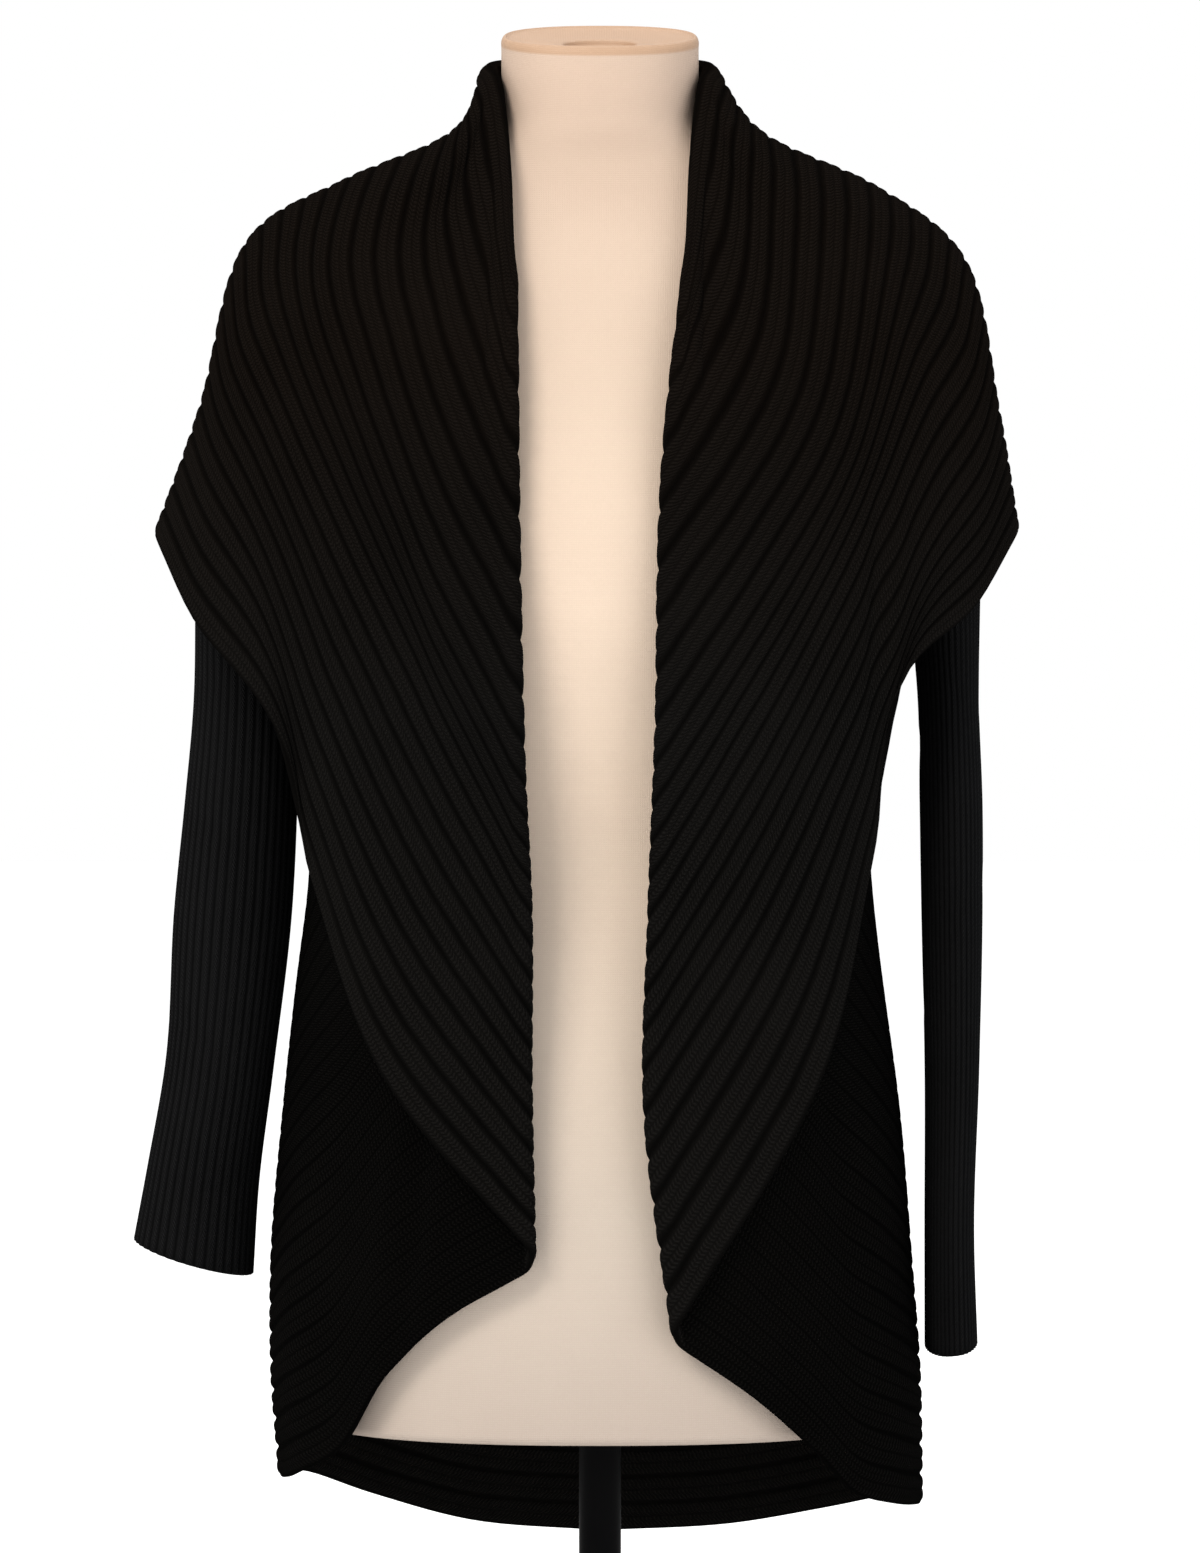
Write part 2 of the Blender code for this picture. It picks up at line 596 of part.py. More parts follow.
def sleeve(side, colour):
    """A tube from the armhole down to the cuff; ring 0 is the armhole, set just outside the body."""
    around = 2 * SLEEVE_RIBS
    turn = np.arange(around) / around * 2 * np.pi
    front = np.array([row[1:] for row in BODY_SEAM[6:10]], float)
    back = np.array([row[1:] for row in BACK_ARMHOLE], float)
    low = np.array([[159.0, 0.0, 746.0]])
    loop = np.concatenate([front, low, back[:0:-1], front[:1]])
    far = np.concatenate([[0], np.cumsum(np.linalg.norm(np.diff(loop, axis=0), axis=1))])
    ring = smooth(far, loop, turn / (2 * np.pi) * far[-1])
    ring = push_out(ring, UNDER_CLEARANCE) + np.array([ARMHOLE_GAP, 0.0, 0.0])
    table = SLEEVES[side]
    rings = []
    level = np.array([row[0] for row in table], float)[::-1]
    heights = np.linspace(level[-1], level[0], SLEEVE_RINGS)
    for z in heights:
        inner = smooth(level, [row[1] for row in table][::-1], z)
        outer = smooth(level, [row[2] for row in table][::-1], z)
        deep = smooth(level, [row[3] for row in table][::-1], z)
        half_wall = CLOTH / 2 + SLEEVE_RIB_HEIGHT / 2
        x = (inner + outer) / 2 + ((outer - inner) / 2 - half_wall) * np.cos(turn)
        y = -(deep - half_wall) * np.sin(turn)
        drop = (level[-1] - z) / (level[-1] - level[0])
        rise = CUFF_RISE[side] * drop**3 * np.cos(turn)
        rings.append(np.stack([x, y, z + rise], axis=-1))
    start = np.stack([40 - 10 * np.cos(turn), 0 * turn, -30 - 45 * (1 + np.cos(turn))], axis=-1)
    end = np.stack([0 * turn, 0 * turn, -40 - 70 * (1 + np.cos(turn))], axis=-1)
    cap = []
    for t in np.arange(CAP_RINGS) / CAP_RINGS:
        cap.append(
            (2 * t**3 - 3 * t**2 + 1) * ring
            + (t**3 - 2 * t**2 + t) * start
            + (3 * t**2 - 2 * t**3) * rings[0]
            + (t**3 - t**2) * end
        )
    grid = np.array(cap + rings)
    normal = grid_normals(grid, True)
    if normal[-1, 0, 0] < 0:
        normal = -normal
    ridge = np.arange(around) % 2 * SLEEVE_RIB_HEIGHT
    outer = grid + normal * (CLOTH / 2 + ridge)[None, :, None]
    inner = (grid - normal * CLOTH / 2)[:, ::2]
    ribbed_tube("sleeve_" + side, mirrored(outer, side), mirrored(inner, side), colour)


def lathe(name, profile, around, colour, roughness):
    """Turns a profile of (radius, height) pairs about the upright axis, with flat ends."""
    turn = np.arange(around) / around * 2 * np.pi
    circle = np.stack([np.cos(turn), np.sin(turn), 0 * turn], axis=-1)
    lift = np.array([0.0, 0.0, 1.0])
    points = np.concatenate([circle * radius + lift * height for radius, height in profile])
    faces = wall_faces(len(profile), around, True)
    faces.append(tuple(range(around))[::-1])
    faces.append(tuple((len(profile) - 1) * around + k for k in range(around)))
    return new_object(name, points, faces, colour, roughness)


def dress_form(colour):
    """Stacked sections from the flat foot to the neck, closed by a slanted, dished top."""
    around = FORM_AROUND
    turn = (np.arange(around) + 0.5) / around * 2 * np.pi
    levels = np.array([row[0] for row in FORM_SECTIONS], float)
    c, s = np.cos(turn), np.sin(turn)
    power = 2 / FORM_POWER
    rings = []
    for z in levels:
        room = np.interp(z, [row[0] for row in FORM_ROOM], [row[1] for row in FORM_ROOM])
        width = column(FORM_SECTIONS, 1, z) - room
        front, back = column(FORM_SECTIONS, 2, z), column(FORM_SECTIONS, 3, z)
        depth = np.where(s < 0, front, back) - room
        x = width * np.sign(c) * np.abs(c) ** power
        y = depth * np.sign(s) * np.abs(s) ** power
        rings.append(np.stack([x, y, 0 * x + z], axis=-1))
    rim = rings[-1]
    middle = (NECK_TOP_FRONT + NECK_TOP_BACK) / 2
    tilt = (NECK_TOP_BACK - NECK_TOP_FRONT) / (rim[:, 1].max() - rim[:, 1].min())
    for share, drop in ((1.0, NECK_RIM),) + NECK_DISH:
        ring = rim * np.array([share, share, 0.0])
        ring[:, 2] = middle + tilt * ring[:, 1] - drop
        rings.append(ring)
    points = np.concatenate(rings)
    faces = wall_faces(len(rings), around, True)
    faces.append(tuple(range(around))[::-1])
    faces.append(tuple((len(rings) - 1) * around + k for k in range(around)))
    return new_object("dress_form", points, faces, colour, 0.7)


def main():
    black = (0.012, 0.012, 0.013)
    band("right", black)
    band("left", black)
    back_panel(black)
    sleeve("right", black)
    sleeve("left", black)
    dress_form((0.78, 0.66, 0.52))
    foot = BASE_THICKNESS + REST_GAP
    top = FORM_SECTIONS[0][0] - REST_GAP
    flange = top - FLANGE_THICKNESS
    pole = ((POLE_RADIUS, foot), (POLE_RADIUS, flange), (FLANGE_RADIUS, flange), (FLANGE_RADIUS, top))
    metal = (0.02, 0.02, 0.02)
    lathe("stand_pole", pole, POLE_AROUND, metal, 0.35)
    flat = BASE_RADIUS - BASE_BEVEL
    base = (
        (flat, 0.0),
        (BASE_RADIUS, BASE_BEVEL),
        (BASE_RADIUS, BASE_THICKNESS - BASE_BEVEL),
        (flat, BASE_THICKNESS),
    )
    lathe("stand_base", base, BASE_AROUND, metal, 0.4)


main()
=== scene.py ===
"""Looks of the rib-knit cocoon cardigan on its dress form.

Each piece of cloth is a fine shell on the form of its CAD solid: the same tables and maps are
read at many more rows and columns, the ribs get their round section and a UV map along and
across them, and the loops of the knit are raised in the material. Sizes are millimetres until
a mesh is made. The front looks along -Y, so the wearer's right is at -X.
"""

import math

import bmesh
import bpy
import numpy as np
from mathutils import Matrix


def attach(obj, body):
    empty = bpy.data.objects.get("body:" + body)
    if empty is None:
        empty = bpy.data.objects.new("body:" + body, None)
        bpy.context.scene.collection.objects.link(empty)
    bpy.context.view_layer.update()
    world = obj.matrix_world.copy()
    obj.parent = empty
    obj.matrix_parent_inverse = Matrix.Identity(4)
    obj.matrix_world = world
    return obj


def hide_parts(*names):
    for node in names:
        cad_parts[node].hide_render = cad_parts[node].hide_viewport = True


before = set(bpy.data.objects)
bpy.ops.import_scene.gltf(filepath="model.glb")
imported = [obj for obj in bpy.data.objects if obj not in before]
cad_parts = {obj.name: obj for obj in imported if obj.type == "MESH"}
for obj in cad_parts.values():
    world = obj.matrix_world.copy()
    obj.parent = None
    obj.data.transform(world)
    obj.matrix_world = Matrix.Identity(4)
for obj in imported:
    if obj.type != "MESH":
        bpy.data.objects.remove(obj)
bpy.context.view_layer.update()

# Cloth
CLOTH = 2.4
RIB_HEIGHT = 1.4
SLEEVE_RIB_HEIGHT = 0.9
SEAM_GAP = 0.12
PANEL_INSET = 0.6
RIBS = 28
FOLD_RADIUS = 4.2
UNDER_CLEARANCE = 4.6
CHEST_CLEARANCE = 5.0
COLLAR_CLEARANCE = 2.6
ARMHOLE_GAP = 2.8
FOLD_FACE = FOLD_RADIUS + CLOTH / 2 + RIB_HEIGHT / 2

# Grid of one half band: a row follows half a rib, a column crosses the strip
ROWS = 2 * RIBS + 1
FOLD_ROW = 10
SHOULDER = 5
FOLD = 12
SIDE = 19
LAST = 23

# Where the band passes the side seam and the centre back
SIDE_TOP = 655.0
SIDE_HEM = {"right": 213.0, "left": 197.0}
# Lower front edge: share of its drop to the side seam made by each column from the fold
EDGE_FALL = {
    "right": (0.0, 0.25, 0.50, 0.81, 0.93, 0.98, 1.0),
    "left": (0.0, 0.33, 0.61, 0.85, 0.93, 0.97, 1.0),
}
WAIST_BACK = 600.0
HEM_BACK = 159.0

# Dress form: height, half width, depth in front of and behind the axis
FORM_SECTIONS = (
    (244, 161, 106, 119),
    (340, 164, 108, 123),
    (430, 154, 104, 112),
    (500, 138, 96, 94),
    (562, 125, 88, 84),
    (640, 132, 101, 89),
    (700, 141, 116, 95),
    (760, 149, 124, 101),
    (850, 153, 104, 102),
    (880, 158, 92, 98),
    (905, 160, 80, 91),
    (922, 156, 70, 84),
    (932, 147, 64, 78),
    (940, 134, 59, 74),
    (948, 116, 56, 70),
    (955, 96, 54, 66),
    (962, 78, 53, 63),
    (970, 64, 53, 60),
    (978, 58, 53, 58),
    (988, 56, 54, 57),
    (1006, 56.2, 54.6, 56.6),
)
FORM_POWER = 2.3
FORM_ROOM = ((700, 0), (800, 4), (860, 5), (925, 7), (955, 5), (972, 1), (1006, 0))
NECK_TOP_FRONT = 1016.0
NECK_TOP_BACK = 1046.0
NECK_DISH = ((0.965, -1.2), (0.90, 0.6), (0.62, 2.6), (0.39, 3.4), (0.34, 7.0), (0.12, 8.0))

# Layer next to the form: height, half width right and left, front depth, back depth
UNDER_SECTIONS = (
    (150, 181, 181, 117, 131),
    (213, 181, 181, 117, 131),
    (270, 185, 180, 117, 131),
    (337, 185, 175, 118, 130),
    (421, 178, 168, 120, 123),
    (504, 169, 157, 122, 114),
    (560, 162, 151, 124, 109),
    (601, 162, 150, 126, 106),
    (660, 160, 152, 128, 106),
    (745, 158, 157, 129, 107),
    (800, 158, 158, 126, 109),
    (850, 161, 161, 112, 107),
    (908, 161, 161, 80, 92),
    (1060, 62, 62, 60, 62),
)
# Cape: height, half width right and left, front depth
CAPE_SECTIONS = (
    (300, 200, 196, 126),
    (348, 196, 190, 127),
    (437, 188, 180, 129),
    (500, 182, 172, 131),
    (557, 178, 171, 132),
    (600, 205, 190, 134),
    (652, 248, 226, 136),
    (700, 255, 236, 137),
    (750, 253, 240, 138),
    (823, 228, 226, 126),
    (870, 214, 213, 110),
    (914, 202, 204, 90),
    (938, 168, 172, 68),
    (951, 143, 150, 59),
    (983, 76, 86, 46),
    (1017, 66, 66, 36),
)
CAPE_POWER = 2.4
OVER_SHOULDER = 0.67
CAPE_LIFT = 1.0

# Cape ribs as seen from the front, (distance from the middle, height) at the shoulder
# line, at four stations down the front and where the rib turns over at the fold
CAPE_RIBS = {
    "right": (
        (8, (74, 983), (79, 954), (84, 922), (78, 878), (63, 832), (44, 786)),
        (13, (141, 951), (146, 920), (149, 890), (129, 820), (88, 716), (41, 627)),
        (18, (201, 914), (195, 868), (178, 826), (139, 739), (86, 628), (37, 535)),
        (23, (226, 823), (212, 790), (187, 743), (151, 651), (98, 535), (37, 442)),
        (28, (253, 750), (224, 697), (184, 648), (159, 553), (112, 437), (35, 348)),
    ),
    "left": (
        (8, (84, 981), (83, 954), (82, 922), (76, 872), (56, 826), (34, 786)),
        (13, (152, 948), (150, 924), (146, 884), (130, 805), (84, 722), (30, 638)),
        (18, (207, 905), (198, 868), (177, 829), (141, 741), (86, 634), (26, 532)),
        (23, (226, 820), (212, 784), (181, 736), (139, 645), (84, 526), (24, 426)),
        (28, (238, 752), (208, 706), (169, 669), (149, 560), (116, 434), (39, 306)),
    ),
}
# Cape at the centre back: rib, depth behind the axis, height
CAPE_BACK = ((8, 82, 984), (13, 101, 912), (18, 118, 838), (23, 122, 767), (28, 124, 696))

# Fold round the neck: column, distance from the middle, depth (front is negative), height
NECK_FOLD = (
    (0, 0, 70, 1024),
    (2.5, 47, 50, 1021),
    (5, 62, 4, 1011),
    (7.5, 60, -29, 995),
    (9.3, 56.5, -48, 965),
    (10.7, 52.8, -73, 925),
    (12, 51, -93, 890),
)
# Seam that joins the band to the body: column, distance from the middle, depth, height
BODY_SEAM = (
    (0, 0, 65, 975),
    (2.5, 46, 48, 973),
    (5, 67, 3, 969),
    (8.5, 101, 0, 959),
    (12, 138, 0, 943),
    (13, 154, 0, 932.5),
    (14, 167, 0, 918),
    (15.2, 161, -38, 885),
    (16.3, 157, -51, 825),
    (17.6, 159, -24, 762),
    (19, 160, 0, 655),
)
# Back of the armhole: share of the way down, distance from the middle, depth, height
BACK_ARMHOLE = ((0, 167, 0, 918), (0.3, 160, 44, 880), (0.65, 157, 53, 815), (1, 159, 24, 757))

# Largest folds of the layer beneath: turn round the body, width, depth, top, bottom
UNDER_FOLDS = {
    "right": ((0.50, 0.045, 7.0, 460, 290), (0.72, 0.06, -4.0, 480, 260)),
    "left": ((0.60, 0.06, 5.0, 430, 250),),
}

# Sleeves below the cap: height, inner and outer edge from the middle, half depth
SLEEVES = {
    "right": (
        (718, 174, 230, 47),
        (652, 172, 231, 49),
        (595, 173, 236, 50),
        (534, 176, 242, 50),
        (444, 187, 247, 50),
        (383, 195, 257, 49),
        (337, 198, 265, 49),
    ),
    "left": (
        (718, 176, 216, 50),
        (652, 182, 215, 53),
        (595, 183, 217, 55),
        (534, 184, 217, 56),
        (444, 186, 215, 57),
        (350, 186, 212, 57),
        (287, 186, 214, 57),
    ),
}
CUFF_RISE = {"right": 10.0, "left": 3.0}
SLEEVE_RIBS = 37

# Back panel
PANEL_TOP_COLUMNS = (0, 1, 2, 3, 4, 5, 6, 8, 10, 12, 13, 14)
PANEL_ROWS = 9
PANEL_CROWD = 1.5
PANEL_WAIST_PARTS = (3, 3, 3, 2)

# Creases: front (-1) or back (1), from (across, height) to (across, height), half width, depth
CREASES = {
    "cape_right": (
        (-1, 118, 800, 96, 640, 9, 1.6),
        (-1, 178, 760, 150, 660, 7, 1.4),
        (1, 60, 860, 74, 740, 11, 2.2),
        (1, 132, 800, 150, 715, 8, 1.8),
    ),
    "cape_left": (
        (-1, 152, 775, 149, 610, 5, 3.2),
        (-1, 164, 770, 160, 640, 6, -1.6),
        (-1, 86, 690, 62, 560, 9, 1.5),
        (1, 48, 880, 66, 770, 10, 2.0),
        (1, 118, 840, 138, 725, 9, 2.2),
    ),
    "under_right": (
        (-1, 92, 440, 113, 285, 6, 5.0),
        (-1, 108, 430, 127, 300, 6, -2.2),
        (1, 90, 420, 112, 250, 12, 4.0),
        (1, 30, 380, 38, 210, 10, 2.5),
        (1, 150, 470, 160, 300, 9, 3.0),
    ),
    "under_left": (
        (-1, 118, 470, 140, 330, 8, 2.6),
        (-1, 70, 400, 96, 300, 7, 1.6),
        (1, 74, 440, 92, 270, 11, 3.4),
        (1, 132, 400, 146, 260, 9, 3.2),
    ),
    "sleeve_right": (
        (-1, 190, 700, 216, 655, 7, 2.0),
        (-1, 186, 560, 226, 590, 6, 1.6),
        (-1, 205, 450, 240, 478, 6, 1.3),
        (1, 184, 660, 222, 610, 7, 2.2),
        (1, 192, 530, 236, 560, 7, 1.8),
    ),
    "sleeve_left": (
        (-1, 186, 690, 208, 640, 7, 1.8),
        (-1, 190, 520, 212, 560, 7, 1.4),
        (1, 186, 640, 210, 590, 7, 2.2),
        (1, 190, 470, 212, 500, 7, 1.6),
    ),
    "back_panel": (
        (1, 92, 860, 56, 740, 10, 1.6),
        (1, -98, 850, -50, 700, 11, 1.8),
        (1, 20, 700, 44, 622, 9, 1.4),
    ),
}

# Stand
POLE_RADIUS = 12.0
FLANGE_RADIUS = 45.0
FLANGE_THICKNESS = 6.0
BASE_RADIUS = 160.0
BASE_THICKNESS = 10.0
REST_GAP = 0.4

# Fineness of the shells: places across one rib, and the longest steps along it
RIB_PLACES = (0.0, 0.07, 0.15, 0.25, 0.38, 0.5, 0.62, 0.75, 0.85, 0.93)
NARROW_PLACES = (0.0, 0.1, 0.22, 0.36, 0.5, 0.64, 0.78, 0.9)
BAND_STEP = 10.0
FOLD_STEP = 1.7
SLEEVE_STEP = 6.5
# Levels of the back panel and the sleeve's cap; points round the form, its levels and its dish
PANEL_LEVELS = 60
CAP_LEVELS = 24
FORM_AROUND = 160
FORM_LEVELS = 170
DISH_RINGS = 48
STAND_AROUND = 96

# Knit: height of a loop, and pitch of the back panel's ribs
LOOP = 2.4
PANEL_RIB = 7.0
# Wide and narrow ribs: width of the bell in the groove, and dip between the two columns
WIDE_SECTION = (0.12, 0.35)
NARROW_SECTION = (0.2, 0.0)

# By station across the strip: depth of the groove between ribs, share that the ribs are pulled
# flat, and shade beneath the cape
RELIEF = (
    (0, 1.1),
    (10.5, 1.1),
    (13, 1.8),
    (15, 1.6),
    (16.5, 0.4),
    (19.8, 0.5),
    (21.6, 1.5),
    (23, 1.9),
    (24.5, 1.4),
    (27, 0.7),
)
PULLED_FLAT = (
    (0, 0.0),
    (15, 0.0),
    (16.2, 0.95),
    (19.8, 0.88),
    (21.4, 0.45),
    (22.6, 0.15),
    (24.5, 0.35),
    (27, 0.6),
)
SHADE = ((15, 0.0), (16.2, 1.0), (23, 1.0), (24.2, 0.0))
# Front of the collar: pulled flat up to this rib and from this station, over these distances
COLLAR_RIB = 8.5
COLLAR_RIB_FADE = 2.5
COLLAR_STATION = 8.5
COLLAR_STATION_FADE = 2.0
COLLAR_FLAT = 0.75
COLLAR_RELIEF_LOST = 0.6

# Rows of the cape by the neck softened across its ribs, and how many times
SOFT_ROWS = (12, 26)
SOFT_TURNS = 8
# Corner where the collar runs into the fold: rounds of easing, its reach in ribs and stations
CORNER_TURNS = 60
CORNER_REACH = (0.9, 2.2)

# How far a rib may lean along the fold as it crosses it, over the distance across
MOST_LEAN = 1.8
# Way out of the cloth at the front fold, as shares of its place across and in depth
FOLD_OUTWARD = (0.35, 1.0, 0.0)
LEVEL = (1.0, 1.0, 0.0)

# Painted shade in the grooves and gaps of the knit: their colour as a share of its lightest yarn
GROOVE_PAINTED_SHADE = 0.12

# Heights in metres between which the yarn's colour turns warmer: painted warm light on the upper
# cloth
PAINTED_WARM_LIGHT_FROM = (0.64, 0.84)
# Neck cap in metres: depth of the neck, drop to the cap's edge, its radius and lowest height
NECK_DEPTH = 0.11
CAP_EDGE = 0.0045
CAP_RADIUS = 0.050
CAP_FLOOR = 0.99
# Painted light and shade on the form's jersey by its height in metres: a multiplier on its colour,
# lightest at 0.6 m and darker toward the foot and the neck
FORM_PAINTED_LIGHT = (
    (0.25, (0.60, 0.62, 0.66)),
    (0.37, (0.72, 0.76, 0.80)),
    (0.60, (1.0, 1.0, 1.0)),
    (0.80, (0.78, 0.765, 0.757)),
    (0.99, (0.693, 0.65, 0.637)),
)

# Camera: the photograph's frame, its scale at the form's axis and its distance
PHOTO_HEIGHT = 1553
MM_PER_PIXEL = 0.57
CAMERA_DISTANCE = 2.6
CAMERA_HEIGHT = 0.61
SENSOR = 36.0
# Black of the stand, darker and lighter as it is worn
METAL_TINT = ((0.3, (0.0018, 0.0018, 0.002)), (0.8, (0.0035, 0.0035, 0.0037)))

# Paper floor in metres: half its width, and its glow from one distance to another
FLOOR = 30.0
PAPER_GLOW = (0.45, 0.95, 0.05, 0.5)
# Strength of the white surroundings as a light
SURROUNDINGS = 0.62


def hermite(t, start, leaving, goal, arriving):
    """Cubic from start to goal as t goes from 0 to 1, with its slopes at the two ends."""
    return (
        (2 * t**3 - 3 * t**2 + 1) * start
        + (t**3 - 2 * t**2 + t) * leaving
        + (3 * t**2 - 2 * t**3) * goal
        + (t**3 - t**2) * arriving
    )


def smooth(at, values, where):
    """Cubic curve through the values, whose slope at each is that between its neighbours."""
    at = np.asarray(at, float)
    values = np.asarray(values, float)
    where = np.clip(np.asarray(where, float), at[0], at[-1])
    slope = np.gradient(values, at, axis=0, edge_order=1)
    k = np.clip(np.searchsorted(at, where, side="right") - 1, 0, len(at) - 2)
    step = at[k + 1] - at[k]
    t = (where - at[k]) / step
    extra = (slice(None),) * where.ndim + (None,) * (values.ndim - 1)
    t, step = t[extra], step[extra]
    return hermite(t, values[k], step * slope[k], values[k + 1], step * slope[k + 1])


def column(table, k, where):
    """One named column of a table, read smoothly at the given heights or stations."""
    return smooth([row[0] for row in table], [row[k] for row in table], where)


def straight(table, where):
    """The second column of a table, read along straight spans at values of its first."""
    at, values = np.array(table, float).T
    return np.interp(where, at, values)


def superellipse(x, width, depth, power):
    """Depth of a superellipse at x from its middle: depth (1 - |x/width|^power)^(1/power)."""
    share = np.clip(np.abs(x) / width, 0.0, 0.999)
    return depth * (1 - share**power) ** (1 / power)


def unit(vectors):
    return vectors / np.linalg.norm(vectors, axis=-1, keepdims=True)


def form_radius(x, y, z):
    """How far the dress form reaches from its axis at this height, toward a point."""
    width = column(FORM_SECTIONS, 1, z)
    depth = np.where(y < 0, column(FORM_SECTIONS, 2, z), column(FORM_SECTIONS, 3, z))
    reach = (np.abs(x / width) ** FORM_POWER + np.abs(y / depth) ** FORM_POWER) ** (1 / FORM_POWER)
    return np.hypot(x, y) / np.maximum(reach, 1e-6)


def push_out(points, clearance):
    """Moves points along the dress form's own slope until they clear it."""
    x, y, z = np.moveaxis(np.array(points, float), -1, 0)
    for _ in range(5):
        radius = np.hypot(x, y) + 1e-6
        slope = (form_radius(x, y, z + 1) - form_radius(x, y, z - 1)) / 2
        steep = np.sqrt(1 + slope**2)
        short = np.maximum(clearance - (radius - form_radius(x, y, z)) / steep, 0.0) / steep
        x, y, z = x + x / radius * short, y + y / radius * short, z - slope * short
    return np.stack([x, y, z], axis=-1)


def under_size(side, z):
    width = column(UNDER_SECTIONS, 1 if side == "right" else 2, z)
    return width, column(UNDER_SECTIONS, 3, z), column(UNDER_SECTIONS, 4, z)


def under_front(side, x, z):
    """Depth of the layer beneath at a point of the front: a soft maximum of cloth and chest."""
    width, front, _ = under_size(side, z)
    form = superellipse(x, column(FORM_SECTIONS, 1, z), column(FORM_SECTIONS, 2, z), FORM_POWER)
    loose = superellipse(x, width, front, FORM_POWER)
    return np.logaddexp(loose / 2, (form + CHEST_CLEARANCE) / 2) * 2


def under_turn(side, turn, z):
    """Point of the layer beneath: turn 0 is the front, 1 the side seam, 2 the centre back."""
    width, front, back = under_size(side, z)
    angle = turn * np.pi / 2
    x = width * np.abs(np.sin(angle)) ** (2 / FORM_POWER)
    level = np.abs(np.cos(angle)) ** (2 / FORM_POWER)
    y = np.where(turn < 1, -front, back) * level
    points = np.stack([x, y, z + 0 * x], axis=-1)
    for centre, spread_by, depth, top, bottom in UNDER_FOLDS[side]:
        fade = np.clip((top - z) / (top - bottom), 0, 1)
        scale = depth * np.exp(-(((turn - centre) / spread_by) ** 2)) * fade
        away = unit(points * LEVEL + 1e-9)
        points = points - away * scale[..., None]
    return push_out(points, UNDER_CLEARANCE + 2)


def cape_front(side, x, z):
    """Depth of the cape at a point of the front, always clear of the layer beneath."""
    own = superellipse(
        x,
        column(CAPE_SECTIONS, 1 if side == "right" else 2, z),
        column(CAPE_SECTIONS, 3, z),
        CAPE_POWER,
    )
    beneath = under_front(side, x, z) + 2 * FOLD_RADIUS + CAPE_LIFT
    return np.logaddexp(own / 4, beneath / 4) * 4


def fold_rows(side):
    """The line the band turns over on, down the front: one point for each row from FOLD_ROW."""
    ribs = [FOLD_ROW / 2] + [row[0] for row in CAPE_RIBS[side]]
    x = [NECK_FOLD[-1][1]] + [row[6][0] + FOLD_FACE for row in CAPE_RIBS[side]]
    z = [NECK_FOLD[-1][3]] + [row[6][1] for row in CAPE_RIBS[side]]
    row_ribs = np.arange(FOLD_ROW, ROWS) / 2
    xz = smooth(ribs, np.array([x, z]).T, row_ribs)
    y = -(under_front(side, xz[:, 0], xz[:, 1]) + FOLD_RADIUS)
    y[0] = NECK_FOLD[-1][2]
    return np.stack([xz[:, 0], y, xz[:, 1]], axis=-1)


def fold_frame(line):
    """For each point of the fold: the way out of the cloth and the way past the fold."""
    along = unit(np.gradient(line, axis=0))
    out = line * FOLD_OUTWARD
    out[: SHOULDER + 2] = line[: SHOULDER + 2] * LEVEL
    out = unit(out - (out * along).sum(axis=1, keepdims=True) * along)
    past = np.cross(along, out)
    return out, past * np.sign(past[0, 2])


def under_row_line(side, share, start):
    """The columns past the fold of one rib: down the front, round the side, to the back."""
    count = SIDE - FOLD - 1
    width, _, _ = under_size(side, start[2])
    first = np.arcsin(min(abs(start[0]) / width, 1.0) ** (FORM_POWER / 2)) * 2 / np.pi
    ahead = np.arange(count + 1) / count
    side_z = SIDE_TOP + (SIDE_HEM[side] - SIDE_TOP) * share
    back_z = WAIST_BACK + (HEM_BACK - WAIST_BACK) * share
    behind = np.arange(1, LAST - SIDE + 1) / (LAST - SIDE)
    turn = np.concatenate([first + (1 - first) * ahead, 1 + behind])
    ease = 0.5 - 0.5 * np.cos(np.pi * behind)
    fall = (1 - share**2) * ahead**0.92 + share**2 * np.array(EDGE_FALL[side])
    down = start[2] + (side_z - start[2]) * fall
    return under_turn(side, turn, np.concatenate([down, side_z + (back_z - side_z) * ease]))


def seam_line(side):
    """The sewn inner edge of the band, one point for each column."""
    ribs = [row[0] for row in BODY_SEAM]
    front = smooth(ribs, [row[1:] for row in BODY_SEAM], np.arange(SIDE + 1))
    behind = np.arange(1, LAST - SIDE + 1) / (LAST - SIDE)
    ease = 0.5 - 0.5 * np.cos(np.pi * behind)
    z = SIDE_TOP + (WAIST_BACK - SIDE_TOP) * ease
    line = np.concatenate([front, under_turn(side, 1 + behind, z)])
    line[SIDE] = under_turn(side, np.array([1.0]), np.array([SIDE_TOP]))[0]
    return push_out(line, UNDER_CLEARANCE)


